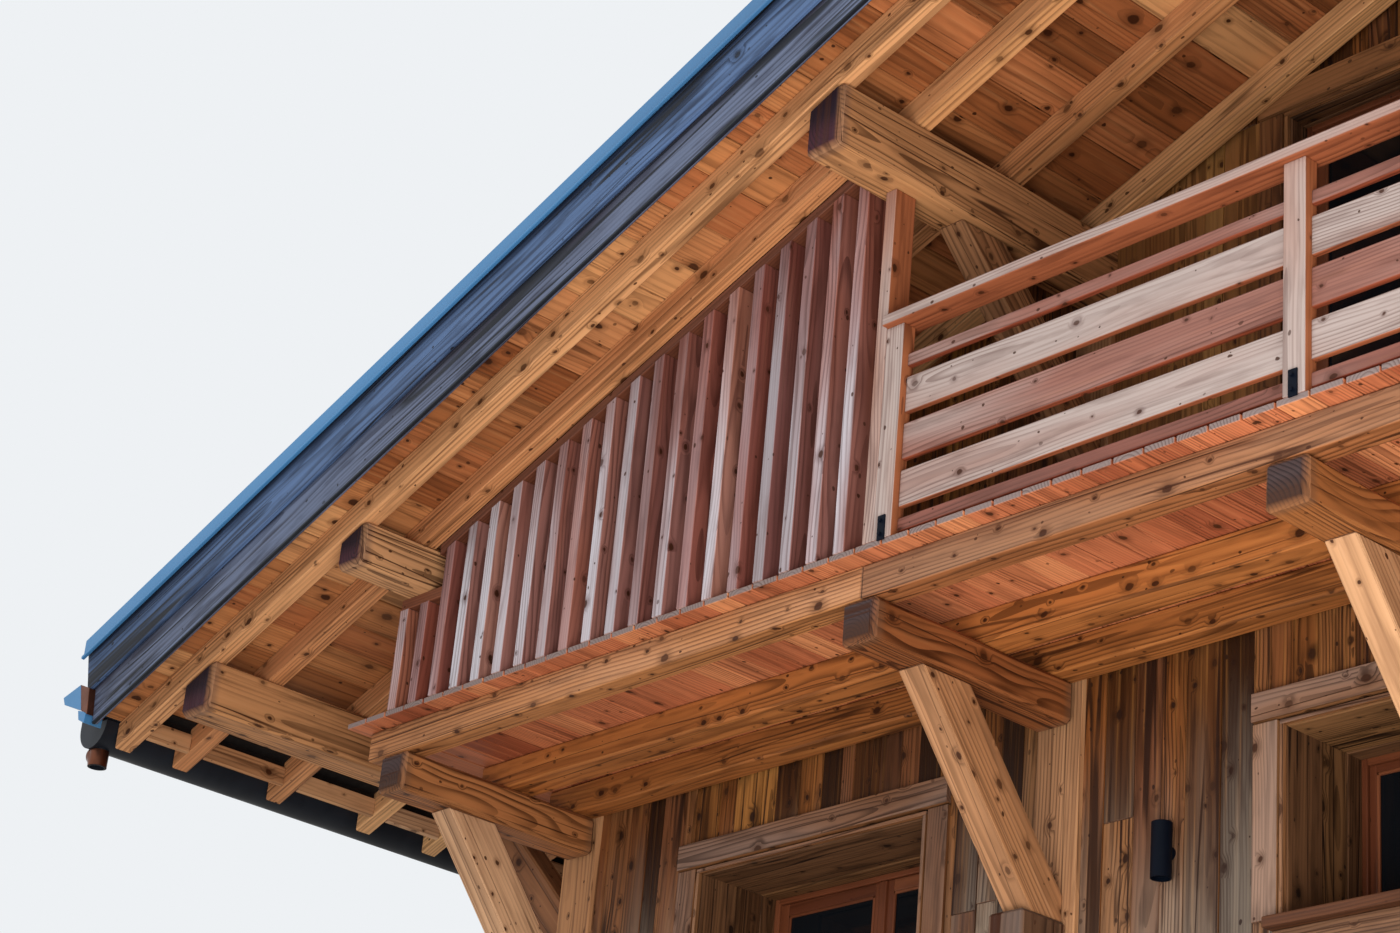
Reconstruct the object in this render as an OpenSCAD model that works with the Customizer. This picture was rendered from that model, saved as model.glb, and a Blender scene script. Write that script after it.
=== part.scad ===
// Alpine chalet with a wide low-pitched roof and a timber balcony with slatted screens under the gable.
// The front faces -Y, the ridge runs along Y above X = 0, and the house stands on Z = 0.

/* [House] */
// Width of the house over the side walls
house_w = 13280; // [12700:10:13800]
// Depth of the house between the front and rear wall faces
house_d = 10600; // [9800:50:12000]
// Thickness of the clad masonry walls of the two lower storeys
wall_t = 560; // [450:10:600]
// Thickness of the timber gable walls of the attic
gable_t = 200; // [150:10:220]
// Height of the stone base
base_h = 300; // [200:10:400]
// How far the stone base stands out from the walls
base_out = 60; // [50:5:100]
// Height of the first floor's surface
first_floor_z = 2950; // [2900:10:3000]
// Height of the attic floor and of the balcony deck
deck_z = 5750; // [5700:10:5850]
// Thickness of the floors
floor_t = 200; // [150:10:250]

/* [Posts on the walls] */
// Width of the posts on the walls
post_w = 250; // [200:5:260]
// How far the posts stand out from the wall boards
post_out = 40; // [25:5:50]
// Thickness of the corner posts on the side walls
corner_t = 20; // [15:1:30]
// Distance of the outer wall posts from the ridge line
outer_post_x = 3315; // [3300:5:3330]
// Distance of the inner wall posts from the ridge line
inner_post_x = 1145; // [1135:5:1150]

/* [Roof] */
// Pitch of the roof in degrees
roof_pitch = 20.45; // [20:0.05:20.8]
// Height of the rafter seats at the ridge above the deck
ridge_rise = 3134; // [3120:2:3150]
// Distance from the ridge line to the rafter tails
eave_reach = 8270; // [8240:10:8300]
// How far the rafter tails run past the foot of the roof's square-cut edge
tail_run = 60; // [50:2:80]
// Overhang of the roof in front of the front wall
front_overhang = 2000; // [1980:5:2020]
// Overhang of the roof behind the rear wall
rear_overhang = 1300; // [1270:5:1350]
// Width of a rafter
rafter_w = 95; // [80:1:100]
// Plumb depth of a rafter
rafter_h = 140; // [120:2:160]
// Distance from one rafter to the next over the house
rafter_step = 610; // [580:5:640]
// Gap between the front gable wall and the first rafter over the house
inner_rafter_gap = 10; // [5:1:40]
// Gap between the rear wall and the first rafter behind it
rear_rafter_gap = 15; // [5:1:40]
// Distance between the rafters in the rear overhang
rear_rafter_step = 545; // [500:5:560]
// Distance from the verge rafter to the next one at the front
verge_step = 350; // [340:2:360]
// Distance from rafter to rafter in the front overhang
overhang_step = 595; // [580:1:598]
// Side step between a lower rafter and the upper rafter lapped beside it
lap_step = 105; // [102:1:110]
// How far the upper rafters run past the outer side of their purlin
lap_run = 40; // [20:5:60]
// How far inside the inner side of their purlin the lower rafters end
lap_back = 20; // [0:5:40]
// Plumb thickness of the soffit boarding
soffit_t = 30; // [20:1:35]
// Plumb thickness of the insulated roof deck
deck_build = 380; // [370:2:420]
// Plumb thickness of the roof covering
cover_t = 30; // [20:1:35]
// Height of the standing seams of the covering
seam_h = 25; // [15:1:35]
// Width of a standing seam
seam_w = 20; // [10:1:30]
// Half the width of the ridge cap
ridge_cap_w = 190; // [150:10:240]
// Gap between the ridge cap and the standing seams
seam_gap = 60; // [40:5:100]
// Distance between standing seams
seam_step = 600; // [500:10:700]
// Distance from the roof's face to the verge rafter
verge_set = 220; // [215:1:240]

/* [Purlins] */
// Width of the ridge purlin
ridge_purlin_w = 220; // [180:5:240]
// Height of the ridge purlin
ridge_purlin_h = 300; // [250:5:320]
// Distance of the wall purlins from the side wall faces
wall_purlin_set = 290; // [270:5:300]
// Distance of the upper purlins from the ridge line
upper_purlin_x = 3200; // [3180:5:3220]
// Width of an upper purlin
upper_purlin_w = 210; // [180:5:220]
// Height of an upper purlin at its middle
upper_purlin_h = 280; // [260:5:300]
// Width of a wall purlin
wall_purlin_w = 200; // [180:5:220]
// Height of a wall purlin at its middle
wall_purlin_h = 190; // [180:5:220]
// Distance of the eave purlins from the ridge line
eave_purlin_x = 7560; // [7520:5:7600]
// Width of an eave purlin
eave_purlin_w = 240; // [200:5:250]
// Height of an eave purlin at its middle
eave_purlin_h = 226; // [200:2:240]
// Chamfer along the purlins' lower edges
purlin_chamfer = 22; // [10:1:30]
// Width of a knee brace
brace_w = 150; // [120:5:170]
// Depth of a knee brace across its length
brace_d = 200; // [160:5:220]
// Distance from the gable wall to a knee brace's far end under its purlin
brace_run = 950; // [850:10:1050]
// Distance of the outer eave braces from the corners of the house
brace_set = 50; // [20:5:100]

/* [Verge and eave] */
// Thickness of the lower barge board
lower_barge_t = 30; // [25:1:35]
// Thickness of the upper barge board
upper_barge_t = 25; // [20:1:30]
// Height of the lower barge board's lower edge above the rafter seats
lower_barge_v = 60; // [40:2:80]
// Height of the upper barge board's lower edge above the rafter seats
upper_barge_v = 270; // [250:1:290]
// How far the barge boards run up behind the verge flashing
barge_lap = 60; // [40:5:70]
// Height of the verge flashing's lower edge above the rafter seats
flashing_v = 480; // [470:1:500]
// Thickness of the sheet metal
metal_t = 6; // [4:1:8]
// Gap between the verge flashing and the upper barge board
flashing_gap = 14; // [10:1:20]
// Width of the flashing's top leg
flashing_top_w = 200; // [150:10:250]
// Half the gap between members that meet at the ridge
ridge_gap = 2; // [1:0.5:3]
// Thickness of the fascias along the eaves
fascia_t = 20; // [15:1:30]
// Radius of the gutter
gutter_r = 130; // [120:2:132]
// Distance from the roof's faces to the gutter's ends
gutter_set = 150; // [130:5:200]
// Gap between the rafter tails and the gutter
gutter_gap = 0.3; // [0.2:0.1:0.6]
// Height of the gutter's outer side above its half-round
gutter_side_h = 130; // [100:5:140]
// Drop from the fascia's lower edge to the gutter's inner edge
gutter_drop = 5; // [3:1:10]
// Distance from the gutter's end to its outlet
outlet_y = 60; // [56:2:120]
// Length of the gutter's outlet
outlet_h = 90; // [60:5:120]
// Radius of the gutter's outlet
outlet_r = 45; // [40:1:55]
// Thickness of the eave closure boards
closure_t = 25; // [18:1:30]
// Distance of the closure boards from the rafter tails
closure_set = 130; // [100:5:160]
// Plumb height of the ventilation slot over the closure boards
closure_slot = 45; // [30:1:60]

/* [Balcony] */
// Depth of the balcony in front of the wall
balcony_d = 1350; // [1340:2:1360]
// Length of the deck along the front
deck_w = 13600; // [13560:10:13640]
// Thickness of the deck planks
deck_t = 28; // [24:1:32]
// Length of the edge beam
edge_beam_w = 13480; // [13440:10:13540]
// Height of the edge beam and of the joists
beam_h = 150; // [140:1:160]
// Width of the edge beam
edge_beam_t = 125; // [110:1:130]
// How far the deck planks overhang the edge beam
deck_over = 105; // [90:1:110]
// Width of the middle joist
joist_t = 170; // [150:2:180]
// Width of the joist along the wall
wall_joist_t = 135; // [120:1:150]
// Distance from the deck's front edge to the middle joist
joist_y = 740; // [700:5:780]
// Gap at the splices of the edge beam
splice_gap = 3; // [1:0.5:3]
// Width of a console
console_w = 200; // [180:5:210]
// Height of a console
console_h = 195; // [180:5:210]
// Distance from the deck's front edge to a console's end
console_set = 92; // [85:1:100]
// Distance of the end consoles from the ridge line
end_console_x = 6518; // [6510:2:6524]
// Distance of the outer consoles from the ridge line
outer_console_x = 3328; // [3326:2:3332]
// Distance of the inner consoles from the ridge line
inner_console_x = 1152; // [1148:2:1156]
// Width of a strut
strut_w = 150; // [120:5:170]
// Depth of a strut's foot on its corbel
strut_foot = 190; // [170:5:210]
// Length of a strut's head under its console
strut_head = 290; // [250:5:320]
// Distance from the wall post to a strut's upper end
strut_run = 900; // [880:10:940]
// Height of a strut's foot below its console
strut_drop = 875; // [850:5:900]
// Height of a corbel block
corbel_h = 300; // [250:10:320]
// Depth of a corbel block at its top
corbel_d = 270; // [250:5:280]
// Depth of a corbel block at its foot
corbel_foot_d = 80; // [60:5:100]
// Height of the slanted lower part of a corbel block
corbel_slant_h = 180; // [150:5:200]

/* [Railing and screens] */
// Width of a railing post
rail_post_w = 102; // [95:1:105]
// Depth of a railing post
rail_post_d = 70; // [60:1:75]
// Height of a railing post
rail_post_h = 975; // [950:5:1000]
// Thickness of the handrail
handrail_t = 50; // [40:1:55]
// Width of the handrail
handrail_w = 140; // [120:2:150]
// How far the handrail stands out in front of the posts
handrail_out = 32; // [20:1:40]
// Height of the narrow railing boards
narrow_board_h = 60; // [50:1:65]
// Height of the wide railing boards
wide_board_h = 165; // [150:1:170]
// Gap between railing boards
board_gap = 50; // [40:1:55]
// Distance from the deck's front edge to the railing boards
board_set = 34; // [20:1:40]
// Height of the lowest railing board above the deck
board_foot = 25; // [15:1:35]
// Thickness of the railing boards
board_t = 28; // [24:1:32]
// Number of slats in a screen
slat_count = 20; // [16:1:22]
// How far the screens reach past the wall purlins
screen_over = 32; // [20:2:60]
// Gap between the tall post and the first slat
slat_start = 108; // [90:1:108]
// Width of a slat
slat_w = 65; // [50:1:75]
// Depth of a slat
slat_d = 125; // [100:1:130]
// Height of the rail on top of the slats
top_rail_h = 55; // [40:1:60]
// How far the top rail lies back from the faces of the slats
top_rail_set = 5; // [2:1:10]
// Gap between the sloping top rail and the side of the wall purlin
screen_gap = 30; // [20:2:50]
// Plumb gap between the top rail and the rafters
top_rail_gap = 8; // [1:1:15]
// Width of the tall post at the end of a screen
tall_post_w = 62; // [50:1:65]
// Depth of the tall post
tall_post_d = 120; // [100:1:130]
// Thickness of the steel post brackets
bracket_t = 8; // [6:1:10]
// Height of the steel post brackets
bracket_h = 110; // [90:5:130]
// Width of the steel post brackets
bracket_w = 40; // [30:1:50]
// How far the brackets reach below the deck's surface
bracket_drop = 10; // [5:1:20]
// Diameter of the bracket bolts
bolt_d = 18; // [12:1:20]
// Height of the bolt heads
bolt_head_t = 12; // [8:1:15]
// Distance of the bolts from the ends of a bracket
bolt_set = 25; // [18:1:30]

/* [Windows and doors] */
// Clear width of the wide windows
wide_window_w = 1490; // [1400:10:1550]
// Clear height of the wide windows
wide_window_h = 1250; // [1150:10:1270]
// Distance of the wide windows from the ridge line
wide_window_x = 4870; // [4860:2:4880]
// Clear width of the small windows
small_window_w = 690; // [670:5:700]
// Clear height of the small windows
small_window_h = 800; // [750:10:850]
// Distance of the small windows from the ridge line
small_window_x = 1777; // [1774:1:1780]
// Height of the window heads above the floor
head_z = 2200; // [2150:5:2220]
// Distance of the side windows from the middle of the side walls
side_window_y = 2600; // [2400:50:2900]
// Distance of the windows from the wall face
window_set = 480; // [400:5:485]
// Thickness of the reveal linings
lining_t = 25; // [20:1:30]
// Width of the casing boards
casing_w = 130; // [115:1:136]
// Thickness of the side casing boards
casing_t = 25; // [20:1:30]
// Height of the head boards
head_board_h = 130; // [110:1:150]
// Thickness of the head boards
head_board_t = 38; // [30:1:40]
// Height of the sill boards
sill_h = 48; // [40:1:60]
// How far the sills stand out from the wall
sill_out = 75; // [60:1:90]
// How far the sills reach past the sides of the clear openings
sill_over = 65; // [50:1:80]
// Height of the apron boards under the sills
apron_h = 140; // [100:5:160]
// How far the apron boards end inside the ends of the sills
apron_set = 15; // [5:1:25]
// Width of the frame members of windows and doors
frame_w = 55; // [45:1:65]
// Width of the sash members
sash_w = 60; // [50:1:70]
// Width of the bead around the glass of the small windows
small_bead_w = 36; // [30:1:50]
// Depth of the frames
frame_d = 70; // [60:1:75]
// Thickness of the glass
glass_t = 24; // [18:1:28]
// Clear width of a balcony door
balcony_door_w = 1500; // [1400:10:1560]
// Clear height of a balcony door
balcony_door_h = 2240; // [2180:10:2250]
// Distance of the balcony doors from the ridge line
balcony_door_x = 1370; // [1360:2:1376]
// Distance of the balcony doors from the wall face
balcony_door_set = 110; // [80:2:120]
// Clear width of the entrance
entrance_w = 1000; // [900:10:1050]
// Clear height of the entrance
entrance_h = 2100; // [2000:10:2150]
// Thickness of the entrance door
entrance_t = 60; // [50:1:70]

/* [Wall lights] */
// Distance of the wall lights from the ridge line
light_x = 2705; // [2690:5:2720]
// Height of the wall lights' lower edge above the first floor
light_z = 1645; // [1600:5:1680]
// Height of a wall light
light_h = 238; // [210:2:270]
// Diameter of a wall light
light_d = 88; // [80:1:100]
// Diameter of a wall light's plate
light_plate_d = 60; // [50:1:75]
// Depth of a wall light's plate
light_plate_t = 20; // [15:1:30]

/* [Hidden] */
$fn = 48;

roof_d = house_d + front_overhang + rear_overhang;
roof_y = -roof_d / 2;
front_y = roof_y + front_overhang;
rear_y = front_y + house_d;
mid_y = (front_y + rear_y) / 2;
side_x = house_w / 2;
deck_y = front_y - balcony_d;
verge_y = roof_y + verge_set;
rear_verge_y = -verge_y;
slope = tan(roof_pitch);
wall_purlin_x = side_x - wall_purlin_set;
soffit_v = rafter_h;
build_v = soffit_v + soffit_t;
cover_v = build_v + deck_build;
top_v = cover_v + cover_t;
barge_back = roof_y + metal_t + flashing_gap + upper_barge_t + lower_barge_t;
post_face = front_y - post_out;
joist_z = deck_z - deck_t - beam_h;
console_x = [inner_console_x, outer_console_x, end_console_x];
wall_post_x = [inner_post_x, outer_post_x, side_x + corner_t - post_w / 2];
joist_end_x = side_x + corner_t;
post_h = joist_z + beam_h - base_h;
screen_end_x = upper_purlin_x - tall_post_w / 2;
rail_bays = 3;
rail_pitch = (2 * screen_end_x - rail_post_w) / rail_bays;
rail_x = [for (i = [0 : rail_bays]) (i - rail_bays / 2) * rail_pitch];
slat_x0 = screen_end_x + tall_post_w + slat_start;
screen_tip_x = wall_purlin_x + wall_purlin_w / 2 + screen_over;
slat_pitch = (screen_tip_x - slat_w - slat_x0) / (slat_count - 1);
small = 0.01;
over = 1;

// Height of the rafters' underside at a distance from the ridge line
function seat(x) = deck_z + ridge_rise - slope * abs(x);
// Distance from the ridge line to the roof's edge at a plumb height over the rafter seats, square-cut up to
// the foot of the verge flashing and plumb above it
function edge_x(v) = eave_reach - tail_run + min(v, flashing_v) * sin(roof_pitch) * cos(roof_pitch);
// Points of the roof's edge between two plumb heights over the rafter seats
function edge_path(va, vb) = [for (v = va < flashing_v && flashing_v < vb ? [va, flashing_v, vb] : [va, vb])
    [edge_x(v), seat(edge_x(v)) + v]];

// Front faces of the lower rafters between the two verges
front_rafters = [for (i = [0 : 2]) verge_y + verge_step + i * overhang_step];
inner_start = front_y + gable_t + inner_rafter_gap;
inner_count = floor((rear_y - gable_t - rafter_w - lap_step - inner_start) / rafter_step);
inner_rafters = [for (i = [0 : inner_count]) inner_start + i * rafter_step];
rear_rafters = [for (i = [0 : 1]) rear_y + rear_rafter_gap + i * rear_rafter_step];
rafter_rows = concat(front_rafters, inner_rafters, rear_rafters);

// Repeats its children mirrored about the ridge plane
module both_sides() {
    children();
    mirror([1, 0, 0]) children();
}

// Plate drawn in the XZ plane and run along Y
module run_y(ya, yb) {
    translate([0, yb, 0]) rotate([90, 0, 0]) linear_extrude(yb - ya) children();
}

// Plate drawn in the YZ plane and run along X
module run_x(xa, xb) {
    translate([xa, 0, 0]) rotate([90, 0, 90]) linear_extrude(xb - xa) children();
}

// Member that follows the roof slope between two distances from the ridge line, with plumb ends
module slope_bar(xa, xb, va, vb, ya, yb) {
    run_y(ya, yb)
        polygon([[xa, seat(xa) + va], [xb, seat(xb) + va], [xb, seat(xb) + vb], [xa, seat(xa) + vb]]);
}

// Member that follows the roof slope from the ridge to the roof's edge
module slope_sheet(va, vb, ya, yb) {
    run_y(ya, yb)
        polygon(concat([[ridge_gap, seat(ridge_gap) + va]], edge_path(va, vb), [[ridge_gap, seat(ridge_gap) + vb]]));
}

// Purlin on the positive side, from verge rafter to verge rafter, its top cut to the roof slope
module purlin(x, w, h) {
    a = x - w / 2;
    b = x + w / 2;
    z = seat(x) - h;
    c = purlin_chamfer;
    run_y(verge_y, rear_verge_y)
        polygon([[a + c, z], [b - c, z], [b, z + c], [b, seat(b)], [a, seat(a)], [a, z + c]]);
}

// Purlin under the ridge, its top cut to both roof slopes
module ridge_beam() {
    w = ridge_purlin_w / 2;
    z = seat(0) - ridge_purlin_h;
    c = purlin_chamfer;
    run_y(verge_y, rear_verge_y)
        polygon([[c - w, z], [w - c, z], [w, z + c], [w, seat(w)], [0, seat(0)], [-w, seat(w)], [-w, z + c]]);
}

// Ring with a rectangular outline, drawn around a clear opening with its middle at x = 0 and its foot at z = 0
module ring(w, h, t, foot) {
    difference() {
        translate([-w / 2 - t, foot ? -t : 0]) square([w + 2 * t, h + t + (foot ? t : 0)]);
        translate([-w / 2, foot ? 0 : -small]) square([w, h + (foot ? 0 : small)]);
    }
}

// Runs its children for each window: the frame's middle on the wall face at the sill, with +Y into the house
module at_front(x, z) { translate([x, front_y, z]) children(); }
module at_rear(x, z) { translate([x, rear_y, z]) rotate([0, 0, 180]) children(); }
module at_right(y, z) { translate([side_x, y, z]) rotate([0, 0, 90]) children(); }
module at_left(y, z) { translate([-side_x, y, z]) rotate([0, 0, -90]) children(); }

// Foot heights of the wide and the small windows on a storey whose floor is at z
function wide_z(z) = z + head_z - wide_window_h;
function small_z(z) = z + head_z - small_window_h;

module front_wide() {
    for (s = [-1, 1], z = [base_h, first_floor_z]) at_front(s * wide_window_x, wide_z(z)) children();
}
module front_small() {
    for (s = [-1, 1]) at_front(s * small_window_x, small_z(first_floor_z)) children();
}
module rear_wide() {
    for (s = [-1, 0, 1], z = [base_h, first_floor_z]) at_rear(s * wide_window_x, wide_z(z)) children();
}
module side_wide() {
    for (s = [-1, 1], z = [base_h, first_floor_z]) {
        at_right(mid_y + s * side_window_y, wide_z(z)) children();
        at_left(mid_y + s * side_window_y, wide_z(z)) children();
    }
}
module gable_wide() {
    for (s = [-1, 1]) at_rear(s * balcony_door_x, wide_z(deck_z)) children();
}

// Box cut for an opening with a clear width and height and its lining
module hole(w, h, deep) {
    translate([-w / 2 - lining_t, -over, -lining_t])
        cube([w + 2 * lining_t, deep + 2 * over, h + 2 * lining_t]);
}

// Box cut for a door with a clear width and height, its lining at the sides and the head
module door_hole(w, h, deep) {
    translate([-w / 2 - lining_t, -over, -over]) cube([w + 2 * lining_t, deep + 2 * over, h + lining_t + over]);
}

module stone_base() {
    color("#8d8a84")
        translate([-side_x - base_out, front_y - base_out, 0])
            cube([house_w + 2 * base_out, house_d + 2 * base_out, base_h]);
}

module floors() {
    inner_w = house_w - 2 * wall_t;
    color("#b98a55") {
        translate([-inner_w / 2, front_y + wall_t, first_floor_z - floor_t])
            cube([inner_w, house_d - 2 * wall_t, floor_t]);
        translate([-inner_w / 2, front_y + wall_t, deck_z - floor_t])
            cube([inner_w, house_d - 2 * wall_t, floor_t]);
    }
}

module front_wall() {
    color("#8f7459") difference() {
        translate([-side_x, front_y, base_h]) cube([house_w, wall_t, deck_z - base_h]);
        front_wide() hole(wide_window_w, wide_window_h, wall_t);
        front_small() hole(small_window_w, small_window_h, wall_t);
        at_front(0, base_h) door_hole(entrance_w, entrance_h, wall_t);
    }
}

module rear_wall() {
    color("#8f7459") difference() {
        translate([-side_x, rear_y - wall_t, base_h]) cube([house_w, wall_t, deck_z - base_h]);
        rear_wide() hole(wide_window_w, wide_window_h, wall_t);
    }
}

module side_walls() {
    color("#8f7459") difference() {
        both_sides() translate([side_x - wall_t, front_y + wall_t, base_h])
            cube([wall_t, house_d - 2 * wall_t, deck_z - base_h]);
        side_wide() hole(wide_window_w, wide_window_h, wall_t);
    }
}

// Outline of a gable wall up to the soffit
module gable_outline() {
    polygon([[-side_x, deck_z], [side_x, deck_z], [side_x, seat(side_x) + soffit_v], [0, seat(0) + soffit_v],
        [-side_x, seat(side_x) + soffit_v]]);
}

// The purlins that pass through the gable walls
module gable_cuts() {
    ridge_beam();
    both_sides() {
        purlin(upper_purlin_x, upper_purlin_w, upper_purlin_h);
        purlin(wall_purlin_x, wall_purlin_w, wall_purlin_h);
    }
}

module front_gable() {
    color("#8f7459") difference() {
        run_y(front_y, front_y + gable_t) gable_outline();
        gable_cuts();
        for (s = [-1, 1]) at_front(s * balcony_door_x, deck_z)
            door_hole(balcony_door_w, balcony_door_h, gable_t);
    }
}

module rear_gable() {
    color("#8f7459") difference() {
        run_y(rear_y - gable_t, rear_y) gable_outline();
        gable_cuts();
        gable_wide() hole(wide_window_w, wide_window_h, gable_t);
    }
}

module knee_walls() {
    plate_z = seat(wall_purlin_x) - wall_purlin_h;
    color("#8f7459") both_sides() run_y(front_y + gable_t, rear_y - gable_t)
        polygon([[side_x - wall_t, deck_z], [side_x, deck_z], [side_x, seat(side_x)],
            [wall_purlin_x + wall_purlin_w / 2, seat(wall_purlin_x + wall_purlin_w / 2)],
            [wall_purlin_x + wall_purlin_w / 2, plate_z], [side_x - wall_t, plate_z]]);
}

module wall_posts() {
    color("#b78350") both_sides() {
        for (x = wall_post_x) {
            translate([x - post_w / 2, post_face, base_h]) cube([post_w, post_out, post_h]);
            translate([x - post_w / 2, rear_y, base_h]) cube([post_w, post_out, post_h]);
        }
        translate([side_x, front_y, base_h]) cube([corner_t, post_w, post_h]);
        translate([side_x, rear_y - post_w, base_h]) cube([corner_t, post_w, post_h]);
    }
}

module gable_posts() {
    color("#b78350") {
        for (y = [front_y - post_out, rear_y]) {
            foot = y < 0 ? deck_z : joist_z + beam_h;
            translate([-ridge_purlin_w / 2, y, foot])
                cube([ridge_purlin_w, post_out, seat(0) - ridge_purlin_h - foot]);
            both_sides() translate([upper_purlin_x - upper_purlin_w / 2, y, foot])
                cube([upper_purlin_w, post_out, seat(upper_purlin_x) - upper_purlin_h - foot]);
        }
    }
}

module ridge_purlin() {
    color("#a97a49") ridge_beam();
}

module upper_purlins() {
    color("#a97a49") both_sides() purlin(upper_purlin_x, upper_purlin_w, upper_purlin_h);
}

module wall_purlins() {
    color("#a97a49") both_sides() purlin(wall_purlin_x, wall_purlin_w, wall_purlin_h);
}

module eave_purlins() {
    color("#a97a49") both_sides() purlin(eave_purlin_x, eave_purlin_w, eave_purlin_h);
}

// Outline of a 45 degree brace from the wall at 0 to a seat at run, seen from the side
module brace_outline(run, z, d, from) {
    k = d * sqrt(2);
    polygon([[from, z - run + from], [from, z - run + from + k], [run - k, z], [run, z]]);
}

module purlin_braces() {
    color("#b78350") {
        for (p = [[0, seat(0) - ridge_purlin_h], [upper_purlin_x, seat(upper_purlin_x) - upper_purlin_h],
            [-upper_purlin_x, seat(upper_purlin_x) - upper_purlin_h]]) {
            translate([p[0] - brace_w / 2, post_face, 0]) mirror([0, 1, 0]) run_x(0, brace_w)
                brace_outline(brace_run, p[1], brace_d, 0);
            translate([p[0] - brace_w / 2, rear_y + post_out, 0]) run_x(0, brace_w)
                brace_outline(brace_run, p[1], brace_d, 0);
        }
    }
}

module eave_braces() {
    z = seat(eave_purlin_x) - eave_purlin_h;
    run = eave_purlin_x - side_x + eave_purlin_w / 2 - purlin_chamfer;
    color("#b78350") both_sides() {
        translate([side_x, 0, 0]) {
            for (y = [front_y + brace_set, rear_y - brace_w - brace_set])
                run_y(y, y + brace_w) brace_outline(run, z, brace_d, corner_t);
            run_y(mid_y - brace_w / 2, mid_y + brace_w / 2) brace_outline(run, z, brace_d, 0);
        }
    }
}

module rafters() {
    upper_end = upper_purlin_x + upper_purlin_w / 2 + lap_run;
    lower_end = upper_purlin_x - upper_purlin_w / 2 + lap_back;
    color("#c48d55") both_sides() {
        slope_bar(ridge_gap, eave_reach, 0, rafter_h, verge_y, verge_y + rafter_w);
        slope_bar(ridge_gap, eave_reach, 0, rafter_h, rear_verge_y - rafter_w, rear_verge_y);
        for (y = rafter_rows) {
            slope_bar(lower_end, eave_reach, 0, rafter_h, y, y + rafter_w);
            slope_bar(ridge_gap, upper_end, 0, rafter_h, y + lap_step, y + lap_step + rafter_w);
        }
    }
}

module soffits() {
    color("#cf9258") both_sides() slope_sheet(soffit_v, build_v, barge_back, -barge_back);
}

module right_roof_deck() {
    color("#9a8a76") slope_sheet(build_v, cover_v, barge_back, -barge_back);
}

module left_roof_deck() {
    mirror([1, 0, 0]) right_roof_deck();
}

module right_roof_covering() {
    color("#4d6273") {
        slope_sheet(cover_v, top_v, roof_y + metal_t, -roof_y - metal_t);
        for (y = [roof_y + flashing_top_w + seam_step / 2 : seam_step : -roof_y - flashing_top_w - seam_w])
            slope_bar(ridge_cap_w + seam_gap, edge_x(top_v), top_v - over, top_v + seam_h, y, y + seam_w);
    }
}

module left_roof_covering() {
    mirror([1, 0, 0]) right_roof_covering();
}

module ridge_cap() {
    w = ridge_cap_w;
    color("#4d6273") run_y(roof_y + metal_t + flashing_top_w, -roof_y - metal_t - flashing_top_w)
        polygon([[-w, seat(w) + top_v], [0, seat(0) + top_v], [w, seat(w) + top_v],
            [w, seat(w) + top_v + seam_h], [0, seat(0) + top_v + seam_h], [-w, seat(w) + top_v + seam_h]]);
}

// Puts the same member at the front and, mirrored, at the rear verge
module both_verges() {
    children();
    mirror([0, 1, 0]) children();
}

module lower_barge_boards() {
    color("#3f4347") both_verges() both_sides()
        slope_sheet(lower_barge_v, flashing_v + barge_lap, barge_back - lower_barge_t, barge_back);
}

module upper_barge_boards() {
    y = barge_back - lower_barge_t;
    color("#4a4f55") both_verges() both_sides()
        slope_sheet(upper_barge_v, flashing_v + barge_lap, y - upper_barge_t, y);
}

module verge_flashings() {
    color("#5b7d99") both_verges() both_sides() {
        slope_sheet(flashing_v, top_v + metal_t, roof_y, roof_y + metal_t);
        slope_sheet(top_v, top_v + metal_t, roof_y, roof_y + flashing_top_w);
    }
}

module eave_fascias() {
    path = edge_path(soffit_v, top_v);
    color("#39424a") both_sides() run_y(barge_back, -barge_back)
        polygon(concat(path, [for (i = [len(path) - 1 : -1 : 0]) path[i] + [fascia_t, 0]]));
}

module eave_closures() {
    x = eave_reach - closure_set;
    rows = concat([verge_y], rafter_rows, [rear_verge_y - rafter_w]);
    color("#c48d55") both_sides() for (i = [0 : len(rows) - 2])
        slope_bar(x - closure_t, x, 0, rafter_h - closure_slot, rows[i] + rafter_w, rows[i + 1]);
}

// Cross-section of the gutter's outside, or of its inside for a set-back equal to the sheet's thickness
module gutter_section(set) {
    intersection() {
        circle(r = gutter_r - set);
        translate([-gutter_r, -gutter_r]) square([2 * gutter_r, gutter_r]);
    }
    translate([-gutter_r + set, -small]) square([2 * (gutter_r - set), set > 0 ? gutter_side_h + over : small]);
    translate([0, -small]) square([gutter_r - set, gutter_side_h + (set > 0 ? over : small)]);
}

module gutters() {
    x = eave_reach + gutter_gap + gutter_r;
    z = seat(edge_x(soffit_v)) + soffit_v - gutter_drop;
    ya = roof_y + gutter_set;
    yb = -ya;
    outlet_top = outlet_h + gutter_r / 2;
    color("#22262a") both_sides() {
        difference() {
            union() {
                run_y(ya, yb) translate([x, z]) gutter_section(0);
                translate([x, ya + outlet_y, z - gutter_r - outlet_h]) cylinder(h = outlet_top, r = outlet_r);
            }
            run_y(ya + metal_t, yb - metal_t) translate([x, z]) gutter_section(metal_t);
            translate([x, ya + outlet_y, z - gutter_r - outlet_h - over])
                cylinder(h = outlet_top + 2 * over, r = outlet_r - metal_t);
        }
    }
}

module consoles() {
    color("#a87743") both_sides() for (x = console_x)
        translate([x - console_w / 2, deck_y + console_set, joist_z - console_h])
            cube([console_w, post_face - deck_y - console_set, console_h]);
}

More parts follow.
